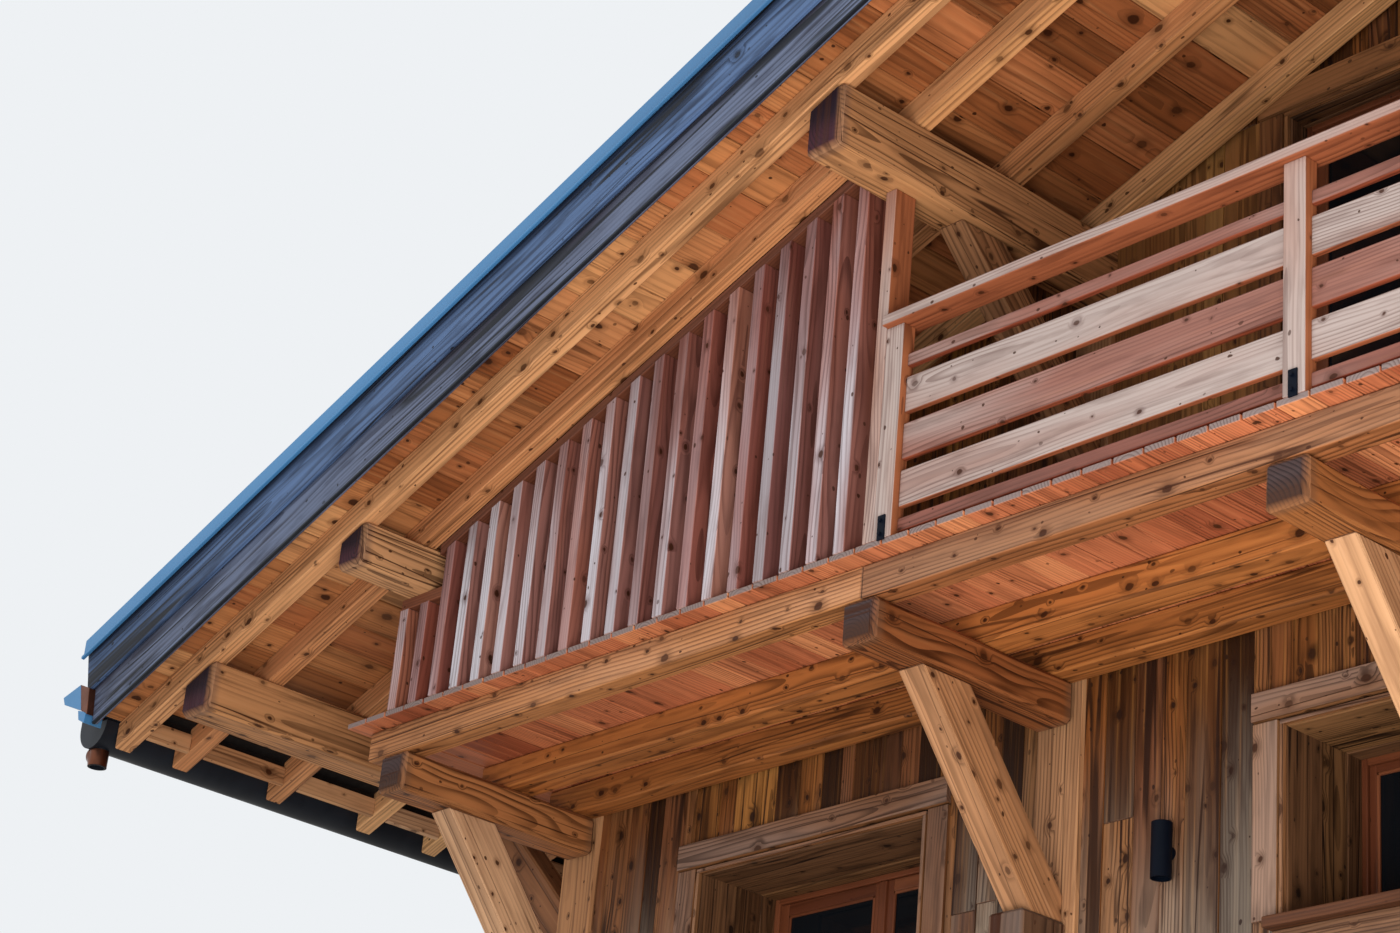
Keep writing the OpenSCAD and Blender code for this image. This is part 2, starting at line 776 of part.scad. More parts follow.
module struts() {
    top = joist_z - console_h;
    foot = top - strut_drop;
    k = strut_drop / (strut_run - strut_foot);
    color("#c08a52") both_sides() for (x = console_x)
        translate([x - strut_w / 2, post_face, 0]) mirror([0, 1, 0]) run_x(0, strut_w)
            polygon([[0, foot], [strut_foot, foot], [strut_run, top], [strut_run - strut_head, top],
                [0, top - k * (strut_run - strut_head)]]);
}

module corbels() {
    z = joist_z - console_h - strut_drop;
    color("#6f5b47") both_sides() for (x = console_x)
        translate([x - console_w / 2, post_face, 0]) mirror([0, 1, 0]) run_x(0, console_w)
            polygon([[0, z - corbel_h], [corbel_foot_d, z - corbel_h],
                [corbel_d, z - corbel_h + corbel_slant_h], [corbel_d, z], [0, z]]);
}

module edge_beams() {
    y = deck_y + deck_over;
    color("#b98651") {
        translate([-outer_console_x + splice_gap / 2, y, joist_z])
            cube([2 * outer_console_x - splice_gap, edge_beam_t, beam_h]);
        both_sides() translate([outer_console_x + splice_gap / 2, y, joist_z])
            cube([edge_beam_w / 2 - outer_console_x - splice_gap / 2, edge_beam_t, beam_h]);
    }
}

module deck_joists() {
    color("#a06a38") {
        translate([-joist_end_x, deck_y + joist_y, joist_z]) cube([2 * joist_end_x, joist_t, beam_h]);
        translate([-joist_end_x, post_face - wall_joist_t, joist_z])
            cube([2 * joist_end_x, wall_joist_t, beam_h]);
    }
}

module balcony_deck() {
    color("#a9673a") translate([-deck_w / 2, deck_y, deck_z - deck_t]) cube([deck_w, balcony_d, deck_t]);
}

module balcony_posts() {
    tall_z = seat(upper_purlin_x) - upper_purlin_h;
    color("#c98f66") {
        for (x = rail_x)
            translate([x - rail_post_w / 2, deck_y, deck_z]) cube([rail_post_w, rail_post_d, rail_post_h]);
        both_sides()
            translate([screen_end_x, deck_y, deck_z]) cube([tall_post_w, tall_post_d, tall_z - deck_z]);
    }
}

module handrail() {
    color("#c7a189") translate([-screen_end_x, deck_y - handrail_out, deck_z + rail_post_h])
        cube([2 * screen_end_x, handrail_w, handrail_t]);
}

// Heights of the railing boards' lower edges above the deck
board_h = [narrow_board_h, wide_board_h, wide_board_h, wide_board_h, narrow_board_h];
board_z = [for (i = 0, z = board_foot; i < len(board_h); z = z + board_h[i] + board_gap, i = i + 1) z];

module railing_boards() {
    color("#c08560") for (i = [0 : rail_bays - 1]) {
        a = rail_x[i] + rail_post_w / 2;
        b = rail_x[i + 1] - rail_post_w / 2;
        for (k = [0 : len(board_h) - 1])
            translate([a, deck_y + board_set, deck_z + board_z[k]]) cube([b - a, board_t, board_h[k]]);
    }
}

module post_brackets() {
    color("#1b1b1d") for (x = rail_x) {
        foot = deck_z - bracket_drop;
        translate([x - bracket_w / 2, deck_y - bracket_t, foot]) cube([bracket_w, bracket_t, bracket_h]);
        for (z = [bolt_set, bracket_h - bolt_set]) translate([x, deck_y - bracket_t + over, foot + z])
            rotate([90, 0, 0]) cylinder(h = bolt_head_t + over, d = bolt_d, $fn = 6);
    }
}

// Slats of one screen standing on the deck under a sloping top rail
module screen() {
    top = -top_rail_gap - top_rail_h;
    purlin_a = wall_purlin_x - wall_purlin_w / 2 - screen_gap;
    purlin_b = wall_purlin_x + wall_purlin_w / 2 + screen_gap;
    low_z = seat(wall_purlin_x) - wall_purlin_h - top_rail_h;
    union() {
        for (i = [0 : slat_count - 1]) {
            x = slat_x0 + i * slat_pitch;
            low = x + slat_w > purlin_a && x < purlin_b;
            run_y(deck_y, deck_y + slat_d)
                polygon([[x, deck_z], [x + slat_w, deck_z], [x + slat_w, low ? low_z : seat(x + slat_w) + top],
                    [x, low ? low_z : seat(x) + top]]);
        }
        slope_bar(screen_end_x + tall_post_w, purlin_a, top - small, -top_rail_gap, deck_y + top_rail_set,
            deck_y + slat_d - top_rail_set);
        translate([purlin_a - slat_w, deck_y + top_rail_set, low_z - small])
            cube([screen_tip_x - purlin_a + slat_w, slat_d - 2 * top_rail_set, top_rail_h]);
    }
}

module slat_screens() {
    color("#b06f52") both_sides() screen();
}

// Casing boards on the wall face, around the front edge of a window's lining
module casing(w, h) {
    inner = w / 2 + lining_t;
    outer = inner + casing_w;
    top = h + lining_t;
    translate([-outer, -casing_t, 0]) cube([casing_w, casing_t, top]);
    translate([inner, -casing_t, 0]) cube([casing_w, casing_t, top]);
    translate([-outer, -head_board_t, top]) cube([2 * outer, head_board_t, head_board_h]);
}

module window_casings() {
    color("#8a7a68") {
        front_wide() casing(wide_window_w, wide_window_h);
        front_small() casing(small_window_w, small_window_h);
        rear_wide() casing(wide_window_w, wide_window_h);
        side_wide() casing(wide_window_w, wide_window_h);
        gable_wide() casing(wide_window_w, wide_window_h);
        at_front(0, base_h) casing(entrance_w, entrance_h);
        for (s = [-1, 1]) at_front(s * balcony_door_x, deck_z) casing(balcony_door_w, balcony_door_h);
    }
}

// Sill board under a window, with an apron board below it
module sill(w) {
    reach = w / 2 + sill_over;
    inner = reach - apron_set;
    translate([-reach, -sill_out, -sill_h]) cube([2 * reach, sill_out, sill_h]);
    translate([-inner, -casing_t, -sill_h - apron_h]) cube([2 * inner, casing_t, apron_h]);
}

module window_sills() {
    color("#9d8468") {
        front_wide() sill(wide_window_w);
        front_small() sill(small_window_w);
        rear_wide() sill(wide_window_w);
        side_wide() sill(wide_window_w);
        gable_wide() sill(wide_window_w);
    }
}

// Lining of a reveal, its front edge flush with the casing boards above the sill
module lining(w, h, deep, foot) {
    run_y(-casing_t, 0) ring(w, h, lining_t, false);
    run_y(0, deep) ring(w, h, lining_t, foot);
}

module window_linings() {
    color("#7b6146") {
        front_wide() lining(wide_window_w, wide_window_h, window_set, true);
        front_small() lining(small_window_w, small_window_h, window_set, true);
        rear_wide() lining(wide_window_w, wide_window_h, window_set, true);
        side_wide() lining(wide_window_w, wide_window_h, window_set, true);
        gable_wide() lining(wide_window_w, wide_window_h, balcony_door_set, true);
        at_front(0, base_h) lining(entrance_w, entrance_h, window_set, false);
        for (s = [-1, 1]) at_front(s * balcony_door_x, deck_z)
            lining(balcony_door_w, balcony_door_h, balcony_door_set, false);
    }
}

// Frame and sashes of a window with a number of leaves, its face at a depth behind the wall face
module frame(w, h, leaves, deep, sash) {
    leaf_w = (w + 2 * lining_t - 2 * frame_w) / leaves;
    border = frame_w - lining_t;
    run_y(deep, deep + frame_d) difference() {
        translate([-w / 2 - lining_t, -lining_t]) square([w + 2 * lining_t, h + 2 * lining_t]);
        for (i = [0 : leaves - 1])
            translate([-w / 2 + border + i * leaf_w + sash, border + sash])
                square([leaf_w - 2 * sash, h - 2 * border - 2 * sash]);
    }
}

module panes(w, h, leaves, deep, sash) {
    leaf_w = (w + 2 * lining_t - 2 * frame_w) / leaves;
    border = frame_w - lining_t;
    y = deep + (frame_d - glass_t) / 2;
    for (i = [0 : leaves - 1])
        translate([-w / 2 + border + i * leaf_w + sash, y, border + sash])
            cube([leaf_w - 2 * sash, glass_t, h - 2 * border - 2 * sash]);
}

module window_frames() {
    color("#8b5f3c") {
        front_wide() frame(wide_window_w, wide_window_h, 2, window_set, sash_w);
        front_small() frame(small_window_w, small_window_h, 1, window_set, small_bead_w);
        rear_wide() frame(wide_window_w, wide_window_h, 2, window_set, sash_w);
        side_wide() frame(wide_window_w, wide_window_h, 2, window_set, sash_w);
        gable_wide() frame(wide_window_w, wide_window_h, 2, balcony_door_set, sash_w);
    }
}

module window_glass() {
    color("#10151a", 0.6) {
        front_wide() panes(wide_window_w, wide_window_h, 2, window_set, sash_w);
        front_small() panes(small_window_w, small_window_h, 1, window_set, small_bead_w);
        rear_wide() panes(wide_window_w, wide_window_h, 2, window_set, sash_w);
        side_wide() panes(wide_window_w, wide_window_h, 2, window_set, sash_w);
        gable_wide() panes(wide_window_w, wide_window_h, 2, balcony_door_set, sash_w);
    }
}

module balcony_doors() {
    color("#8b5f3c") for (s = [-1, 1]) at_front(s * balcony_door_x, deck_z + lining_t)
        frame(balcony_door_w, balcony_door_h - lining_t, 2, balcony_door_set, sash_w);
}

module balcony_door_glass() {
    color("#10151a", 0.6) for (s = [-1, 1]) at_front(s * balcony_door_x, deck_z + lining_t)
        panes(balcony_door_w, balcony_door_h - lining_t, 2, balcony_door_set, sash_w);
}

module entrance_door() {
    color("#7a5638") at_front(-entrance_w / 2 - lining_t, base_h) translate([0, window_set, 0])
        cube([entrance_w + 2 * lining_t, entrance_t, entrance_h + lining_t]);
}

module wall_lights() {
    y = front_y - light_plate_t - light_d / 2;
    z = first_floor_z + light_z;
    color("#15171a") both_sides() {
        translate([light_x, y, z]) cylinder(h = light_h, d = light_d);
        translate([light_x, front_y, z + light_h / 2]) rotate([90, 0, 0])
            cylinder(h = light_plate_t + light_d / 2, d = light_plate_d);
    }
}

stone_base();
floors();
front_wall();
rear_wall();
side_walls();
front_gable();
rear_gable();
knee_walls();
wall_posts();
gable_posts();
ridge_purlin();
upper_purlins();
wall_purlins();
eave_purlins();
purlin_braces();
eave_braces();
rafters();
soffits();
left_roof_deck();
right_roof_deck();
left_roof_covering();
right_roof_covering();
ridge_cap();
lower_barge_boards();
upper_barge_boards();
verge_flashings();
eave_fascias();
eave_closures();
gutters();
consoles();
struts();
corbels();
edge_beams();
deck_joists();
balcony_deck();
balcony_posts();
handrail();
railing_boards();
post_brackets();
slat_screens();
window_casings();
window_sills();
window_linings();
window_frames();
window_glass();
balcony_doors();
balcony_door_glass();
entrance_door();
wall_lights();
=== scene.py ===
"""Alpine chalet: boards, timbers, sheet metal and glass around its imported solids, in a plain studio."""

import logging
import math
from contextlib import contextmanager
from dataclasses import dataclass, field, replace
from enum import Enum
from functools import partial
from typing import Callable, Iterator, Optional, Sequence

import bpy
import numpy as np
from mathutils import Matrix


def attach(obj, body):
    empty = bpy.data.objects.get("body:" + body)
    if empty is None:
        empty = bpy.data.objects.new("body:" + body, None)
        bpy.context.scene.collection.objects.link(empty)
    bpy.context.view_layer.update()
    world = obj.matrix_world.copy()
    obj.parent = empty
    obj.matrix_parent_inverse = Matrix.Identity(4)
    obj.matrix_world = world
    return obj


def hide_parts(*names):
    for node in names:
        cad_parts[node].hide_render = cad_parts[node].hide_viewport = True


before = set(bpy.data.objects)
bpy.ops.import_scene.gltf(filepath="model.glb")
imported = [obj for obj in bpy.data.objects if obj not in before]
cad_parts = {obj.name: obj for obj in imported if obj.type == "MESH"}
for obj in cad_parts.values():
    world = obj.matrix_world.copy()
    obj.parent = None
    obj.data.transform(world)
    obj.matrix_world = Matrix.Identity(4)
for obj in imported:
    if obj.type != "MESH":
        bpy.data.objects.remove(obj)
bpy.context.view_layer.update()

log = logging.getLogger("chalet")
Vec = tuple[float, float, float]
Box = tuple[tuple[float, float], tuple[float, float], tuple[float, float]]
Add = Callable[..., bpy.types.NodeSocket]
LAYERS = ("grain", "skin", "facts", "reach")


# The house


@dataclass(frozen=True)
class House:
    """The chalet's main sizes in metres, which its sub-assemblies share."""

    side_x: float = 6.64
    front_y: float = -4.95
    rear_y: float = 5.65
    mid_y: float = 0.35
    roof_y: float = 6.95
    base_h: float = 0.3
    first_floor_z: float = 2.95
    deck_z: float = 5.75
    head_z: float = 2.2
    post_out: float = 0.04
    ridge_rise: float = 3.134
    eave_reach: float = 8.27
    tail_run: float = 0.06
    pitch: float = math.radians(20.45)
    rafter_h: float = 0.14
    verge_y: float = -6.73
    upper_purlin_x: float = 3.2
    wall_purlin_x: float = 6.35
    eave_purlin_x: float = 7.56
    joist_z: float = 5.572
    deck_y: float = -6.3
    window_x: float = 4.87
    side_window_y: float = 2.6
    small_window_x: float = 1.777
    door_x: float = 1.37

    def seat(self, x: float) -> float:
        """Height of the rafters' underside at a distance from the ridge line."""
        return self.deck_z + self.ridge_rise - math.tan(self.pitch) * abs(x)

    def edge_x(self, v: float) -> float:
        """Distance from the ridge line to the square-cut roof edge at a height over the rafter seats."""
        return self.eave_reach - self.tail_run + min(v, 0.48) * math.sin(self.pitch) * math.cos(self.pitch)

    def slope_bar(
        self, side: int, xa: float, xb: float, va: float, vb: float, ya: float, yb: float
    ) -> np.ndarray:
        """Corners of a member that follows the roof slope and ends plumb.

        Args:
            side: 1 right of the ridge, -1 left of it.
            xa: Distance of its upper end from the ridge line.
            xb: Distance of its lower end from the ridge line.
            va: Height of its underside over the rafter seats.
            vb: Height of its top over the rafter seats.
            ya: Its front face.
            yb: Its rear face.

        Returns:
            Eight corners, indexed by length, width and height.
        """
        return np.array(
            [[[(side * x, y, self.seat(x) + v) for v in (va, vb)] for y in (ya, yb)] for x in (xa, xb)]
        )

    def slope_sheet(
        self, side: int, va: float, vb: float, ya: float, yb: float, top: float = 0.002
    ) -> np.ndarray:
        """Corners of a board that follows the slope from near the ridge to the square-cut edge."""
        bar = self.slope_bar(side, top, self.edge_x(va), va, vb, ya, yb)
        bar[1, :, 1, 0] = side * self.edge_x(vb)
        bar[1, :, 1, 2] = self.seat(self.edge_x(vb)) + vb
        return bar


HOUSE = House()


class Lay(Enum):
    """How a board lies on a wall: which of along, up and out its length, width and thickness follow."""

    LEVEL = (0, 1, 2, 3)
    UPRIGHT = (1, 0, 2, 3)
    LEVEL_ON_EDGE = (0, 2, 1, 3)
    UPRIGHT_ON_EDGE = (1, 2, 0, 3)


@dataclass(frozen=True)
class Face:
    """A wall face with its own directions: along it, up, and out of the house."""

    along: Vec
    out: Vec
    at: Vec

    def corners(self, u: Sequence[float], v: Sequence[float], o: Sequence[float], lay: Lay) -> np.ndarray:
        """Corners of a board on this face.

        Args:
            u: Its two ends along the face.
            v: Its lower and upper edge.
            o: How far its back and its front stand out from the face.
            lay: How it lies.

        Returns:
            Eight corners, indexed by length, width and thickness.
        """
        along, out, at = np.array(self.along), np.array(self.out), np.array(self.at)
        up = np.array((0.0, 0.0, 1.0))
        spots = [[[at + along * a + up * b + out * c for c in o] for b in v] for a in u]
        return np.array(spots).transpose(lay.value)


class Wall(Enum):
    """The four outer faces of the house."""

    FRONT = Face((1, 0, 0), (0, -1, 0), (0, HOUSE.front_y, 0))
    REAR = Face((-1, 0, 0), (0, 1, 0), (0, HOUSE.rear_y, 0))
    RIGHT = Face((0, 1, 0), (1, 0, 0), (HOUSE.side_x, 0, 0))
    LEFT = Face((0, -1, 0), (-1, 0, 0), (-HOUSE.side_x, 0, 0))


# Shaping


def only(piece: bpy.types.Object) -> None:
    """Makes a piece the one that the operators act on."""
    bpy.ops.object.select_all(action="DESELECT")
    piece.select_set(True)
    bpy.context.view_layer.objects.active = piece


def started(primitive: Callable[..., set], name: str, **sizes: object) -> bpy.types.Object:
    """Adds a primitive with nothing else selected, and names it."""
    bpy.ops.object.select_all(action="DESELECT")
    primitive(**sizes)
    bpy.context.object.name = name
    return bpy.context.object


@contextmanager
def editing(piece: bpy.types.Object, picks: Optional[Callable] = None) -> Iterator[None]:
    """Opens a piece in edit mode, and closes it again.

    Args:
        piece: The piece.
        picks: A test of the faces to select, or None for all.
    """
    only(piece)
    bpy.ops.object.mode_set(mode="EDIT")
    bpy.ops.mesh.select_mode(type="FACE")
    bpy.ops.mesh.select_all(action="DESELECT" if picks else "SELECT")
    if picks:
        bpy.ops.object.mode_set(mode="OBJECT")
        for face in piece.data.polygons:
            face.select = picks(face)
        bpy.ops.object.mode_set(mode="EDIT")
    yield
    bpy.ops.object.mode_set(mode="OBJECT")


def weld(flat: float = 0.0) -> None:
    """Merges doubles, and faces that are flat to an angle, and turns the faces outwards."""
    bpy.ops.mesh.select_all(action="SELECT")
    bpy.ops.mesh.remove_doubles(threshold=1e-5)
    if flat:
        bpy.ops.mesh.dissolve_limited(angle_limit=flat)
    bpy.ops.mesh.normals_make_consistent(inside=False)


def place(piece: bpy.types.Object) -> None:
    """Puts a piece's place into its mesh, so that its object sits at the origin."""
    only(piece)
    bpy.ops.object.transform_apply(location=True, rotation=True, scale=True)


def joined(pieces: Sequence[bpy.types.Object], name: str) -> bpy.types.Object:
    """Joins pieces that belong together into one."""
    bpy.ops.object.select_all(action="DESELECT")
    for piece in pieces:
        piece.select_set(True)
    bpy.context.view_layer.objects.active = pieces[0]
    bpy.ops.object.join()
    pieces[0].name = name
    return pieces[0]


def bevelled(piece: bpy.types.Object, width: float, steps: int = 1, angle: float = 0.5) -> bpy.types.Object:
    """Takes the sharpness off a piece's edges with an applied bevel."""
    only(piece)
    bpy.ops.object.modifier_add(type="BEVEL")
    bevel = piece.modifiers[-1]
    bevel.width, bevel.segments = width, steps
    bevel.limit_method, bevel.angle_limit = "ANGLE", angle
    bpy.ops.object.modifier_apply(modifier=bevel.name)
    return piece


def smoothed(piece: bpy.types.Object, angle: float) -> bpy.types.Object:
    """Shades a piece smooth across edges below an angle."""
    only(piece)
    bpy.ops.object.shade_smooth_by_angle(angle=angle)
    return piece


def own_mesh(name: str, node: str) -> bpy.types.Object:
    """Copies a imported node's solids with their doubles merged and their flat faces whole."""
    piece = bpy.data.objects.new(name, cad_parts[node].data.copy())
    bpy.context.scene.collection.objects.link(piece)
    piece.data.materials.clear()
    only(piece)
    if piece.data.has_custom_normals:
        bpy.ops.mesh.customdata_custom_splitnormals_clear()
    with editing(piece):
        weld(flat=0.01)
    return piece


class Blank(Enum):
    """Blanks of straight members: cuts along the length, and steps of the edges' rounding."""

    BOARD = (0, 1)
    ROUNDED = (0, 2)
    HEWN = (16, 1)


@dataclass
class Template:
    """A bevelled bar modelled once, whose points know which corner they belong to."""

    blank: Blank
    length: float = 20.0
    bevel: float = 0.25

    def __post_init__(self) -> None:
        """Models the bar, reads its points and removes it again."""
        cuts, steps = self.blank.value
        bar = started(bpy.ops.mesh.primitive_cube_add, "blank_bar", size=2)
        with editing(bar):
            bpy.ops.transform.resize(value=(self.length / 2, 1, 1))
            bpy.ops.mesh.bevel(offset=self.bevel, segments=steps, affect="EDGES", clamp_overlap=False)
            for k in range(cuts):
                bpy.ops.mesh.select_all(action="SELECT")
                at = (self.length - 1) * ((k + 0.5) / cuts - 0.5)
                bpy.ops.mesh.bisect(plane_co=(at, 0, 0), plane_no=(1, 0, 0))
        points = np.array([v.co for v in bar.data.vertices])
        self.faces = [list(p.vertices) for p in bar.data.polygons]
        half = np.array((self.length / 2, 1, 1))
        reach = half[0] - self.bevel
        self.side = (points > 0).astype(int)
        self.inset = np.clip((half - np.abs(points)) / self.bevel, 0, 1)
        between = np.abs(points[:, 0]) < half[0] - 1.02 * self.bevel
        self.along = np.where(between, (points[:, 0] + reach) / (2 * reach), self.side[:, 0])
        ranked = self.inset + np.array((0.002, 0.001, 0.0))
        ranked[between, 0] = 2
        self.main = ranked.argmin(axis=1)
        self.tip = np.where(between, 0.0, 1 - self.inset[:, 0])
        self.inset[between, 0] = 0
        bpy.data.objects.remove(bar)


def unit(vectors: np.ndarray) -> np.ndarray:
    """Scales vectors to a length of one."""
    return vectors / np.maximum(np.linalg.norm(vectors, axis=-1, keepdims=True), 1e-9)


@dataclass
class Grain:
    """Gives the points of timber members their place in the log, on the skin, and their facts."""

    pith: Vec = (0.0, 0.03, 0.03)
    even: float = 0.0
    tone: tuple[float, float] = (0.0, 1.0)

    def outward(self, centre: np.ndarray) -> np.ndarray:
        """The side of a member, at a place on the house, whose faces get weathering and painted sky light."""
        if centre[1] < HOUSE.front_y + 0.02:
            return np.array((0.0, -1.0, 0.0))
        if centre[1] > HOUSE.rear_y - 0.02:
            return np.array((0.0, 1.0, 0.0))
        return np.array((math.copysign(1.0, centre[0]), 0.0, 0.0))

    def data(
        self, points: np.ndarray, normals: np.ndarray, axes: np.ndarray, rng: np.random.Generator,
        tone: Optional[float] = None,
    ) -> np.ndarray:
        """Works out the attributes of one member.

        Args:
            points: Its points.
            normals: The normal of the main face that each point belongs to.
            axes: Its directions along its length, across and up, as rows.
            rng: The sub-assembly's random numbers.
            tone: Its tone, or None for one by chance.

        Returns:
            Twelve numbers a point: place in the log, place on the skin, facts (tone, end grain, and
            weathering with painted sky light) and reach (distance from both ends and relative height in the
            member).
        """
        centre = points.mean(axis=0)
        local = (points - centre) @ axes.T
        facing = normals @ axes.T
        half = np.abs(local).max(axis=0)
        start = np.array((rng.uniform(0, 40), *(rng.uniform(-1, 1, 2) * self.pith[1])))
        start[2] += self.pith[2] * rng.choice((-1, 1))
        log_place = local + start
        main = np.abs(facing).argmax(axis=1)
        y, z = local[:, 1], local[:, 2]
        up, across = facing[:, 2] > 0, facing[:, 1] > 0
        girth = np.where(main == 1, np.where(across, half[1] + half[2] - z, 3 * half[1] + 3 * half[2] + z), 0)
        girth = np.where(main != 1, np.where(up, y, 2 * half[1] + 2 * half[2] - y), girth)
        skin = np.stack((log_place[:, 0], girth + rng.uniform(0, 30), np.zeros(len(points))), axis=1)
        end = (main == 0).astype(float)
        out = self.outward(centre)
        # faces turned out of the house and up: partly real weathering, partly painted sky light, in one mask
        weather_and_sky_light = np.clip(normals @ out, 0, 1) + 0.8 * np.clip(normals[:, 2], 0, 1)
        by_chance = rng.uniform(*self.tone)
        tone = by_chance if tone is None else tone
        facts = np.stack((np.full(len(points), tone), end, np.clip(weather_and_sky_light + self.even, 0, 1)), axis=1)
        upright = 1 if abs(axes[1, 2]) > abs(axes[2, 2]) else 2
        height = 0.5 + 0.5 * math.copysign(1, axes[upright, 2]) * local[:, upright] / half[upright]
        reach = np.stack((half[0] + local[:, 0], half[0] - local[:, 0], height), axis=1)
        return np.concatenate((log_place, skin, facts, reach), axis=1)

    def write(self, mesh: bpy.types.Mesh, values: np.ndarray) -> None:
        """Keeps the attributes in a mesh, where the wood finishes read them."""
        for k, name in enumerate(LAYERS):
            layer = mesh.attributes.new(name, "FLOAT_VECTOR", "POINT")
            layer.data.foreach_set("vector", values[:, 3 * k : 3 * k + 3].astype(np.float32).ravel())


TEMPLATES: dict[Blank, Template] = {}


@dataclass
class Members:
    """Straight timbers, boards or stones of one sub-assembly, joined into one mesh."""

    name: str
    seed: int
    bevel: float = 0.004
    blank: Blank = Blank.BOARD
    waver: float = 0.0
    grain: Grain = field(default_factory=Grain)
    blunt: float = 0.0

    def __post_init__(self) -> None:
        """Starts with no members."""
        self.rng = np.random.default_rng(self.seed)
        self.bars: list[tuple[np.ndarray, float, Optional[float]]] = []

    def add(self, corners: np.ndarray, bevel: Optional[float] = None, tone: Optional[float] = None) -> None:
        """Adds a member.

        Args:
            corners: Its eight corners, indexed by length, width and thickness.
            bevel: The width of its edges' bevel, or None for the sub-assembly's.
            tone: Its tone, or None for one by chance.
        """
        edges = [corners[end] - corners[0, 0, 0] for end in ((1, 0, 0), (0, 1, 0), (0, 0, 1))]
        if np.linalg.det(np.array(edges)) < 0:
            corners = corners[:, ::-1]
        most = 0.35 * min(float(np.linalg.norm(e)) for e in edges)
        width = min(self.bevel if bevel is None else bevel, most)
        self.bars.append((np.asarray(corners, float), width, tone))

    def on(
        self, face: Face, u: Sequence[float], v: Sequence[float], o: Sequence[float], lay: Lay,
        bevel: Optional[float] = None,
    ) -> None:
        """Adds a member on a wall face, placed as Face.corners says."""
        self.add(face.corners(u, v, o, lay), bevel)

    def box(
        self, low: Sequence[float], high: Sequence[float], axis: str, tone: Optional[float] = None
    ) -> None:
        """Adds an upright or level member between two opposite corners, its grain along an axis."""
        order = {"x": (0, 1, 2), "y": (1, 2, 0), "z": (2, 0, 1)}[axis]
        ends = [(low[k], high[k]) for k in order]
        grid = np.array([[[(a, b, c) for c in ends[2]] for b in ends[1]] for a in ends[0]])
        self.add(grid[..., [order.index(k) for k in range(3)]], tone=tone)

    def cut(self, blank: Template, box: np.ndarray, bevel: float) -> tuple[np.ndarray, ...]:
        """Fits the blank to one member.

        Args:
            blank: The blank.
            box: The member's corners.
            bevel: The width of its edges' bevel.

        Returns:
            Its points, the normals of their main faces, and its directions as rows.
        """
        sx, sy, sz = blank.side.T
        flip = 1 - 2 * blank.side
        ex, ey, ez = unit(box[1] - box[0]), unit(box[:, 1] - box[:, 0]), unit(box[:, :, 1] - box[:, :, 0])
        size, butt = np.full(len(sx), bevel), max(self.blunt, bevel)
        if self.waver:
            phase = self.rng.uniform(0, 2 * math.pi, (3, 4))[:, 2 * sy + sz]
            run = blank.along * np.linalg.norm(box[1, 0, 0] - box[0, 0, 0])
            size = size * (1 + 0.35 * np.sin(5.1 * run + phase[0]) * np.sin(2.3 * run + phase[1]))
        ends, size = [], size + (butt - size) * blank.tip
        for k in (0, 1):
            spot = box[k, sy, sz] + (size * blank.inset[:, 1] * flip[:, 1])[:, None] * ey[k, sz]
            ends.append(spot + (size * blank.inset[:, 2] * flip[:, 2])[:, None] * ez[k, sy])
        points = ends[0] + (ends[1] - ends[0]) * blank.along[:, None]
        points = points + (butt * blank.inset[:, 0] * flip[:, 0])[:, None] * ex[sy, sz]
        if self.waver:
            swing = np.sin(1.7 * run + phase[0]) + 0.6 * np.sin(4.3 * run + phase[2])
            points = points + (self.waver * swing)[:, None] * ey[0, 0]
            swing = np.sin(2.1 * run + phase[1]) + 0.5 * np.sin(5.3 * run + phase[0])
            points = points + (self.waver * swing)[:, None] * ez[0, 0]
        axes = unit(np.array([e.mean((0, 1)) for e in (ex, ey, ez)]))
        normals = axes[blank.main] * -flip[np.arange(len(sx)), blank.main][:, None]
        across = unit(np.cross(axes[2], axes[0]))
        return points, normals, np.array((axes[0], across, np.cross(axes[0], across)))

    def build(self) -> bpy.types.Object:
        """Cuts every member from the blank and joins them.

        Returns:
            The sub-assembly's object, with its wood attributes.
        """
        if self.blank not in TEMPLATES:
            TEMPLATES[self.blank] = Template(self.blank)
        blank = TEMPLATES[self.blank]
        places, values, faces = [], [], []
        for number, (box, bevel, tone) in enumerate(self.bars):
            points, normals, axes = self.cut(blank, box, bevel)
            places.append(points)
            values.append(self.grain.data(points, normals, axes, self.rng, tone))
            faces += [[v + number * len(points) for v in f] for f in blank.faces]
        mesh = bpy.data.meshes.new(self.name)
        mesh.from_pydata(np.concatenate(places).tolist(), [], faces)
        piece = bpy.data.objects.new(self.name, mesh)
        bpy.context.scene.collection.objects.link(piece)
        self.grain.write(mesh, np.concatenate(values))
        return piece


def loose_parts(mesh: bpy.types.Mesh) -> np.ndarray:
    """Numbers the loose parts of a mesh, one number a point."""
    label = np.arange(len(mesh.vertices))
    ends = np.array([e.vertices[:] for e in mesh.edges])
    while True:
        low = np.minimum(label[ends[:, 0]], label[ends[:, 1]])
        new = label.copy()
        np.minimum.at(new, ends[:, 0], low)
        np.minimum.at(new, ends[:, 1], low)
        if (new == label).all():
            return label
        label = new


def main_normals(mesh: bpy.types.Mesh) -> np.ndarray:
    """The normal of the largest face at each point of a mesh."""
    normals = np.zeros((len(mesh.vertices), 3))
    for face in sorted(mesh.polygons, key=lambda f: f.area):
        normals[list(face.vertices)] = face.normal
    return normals


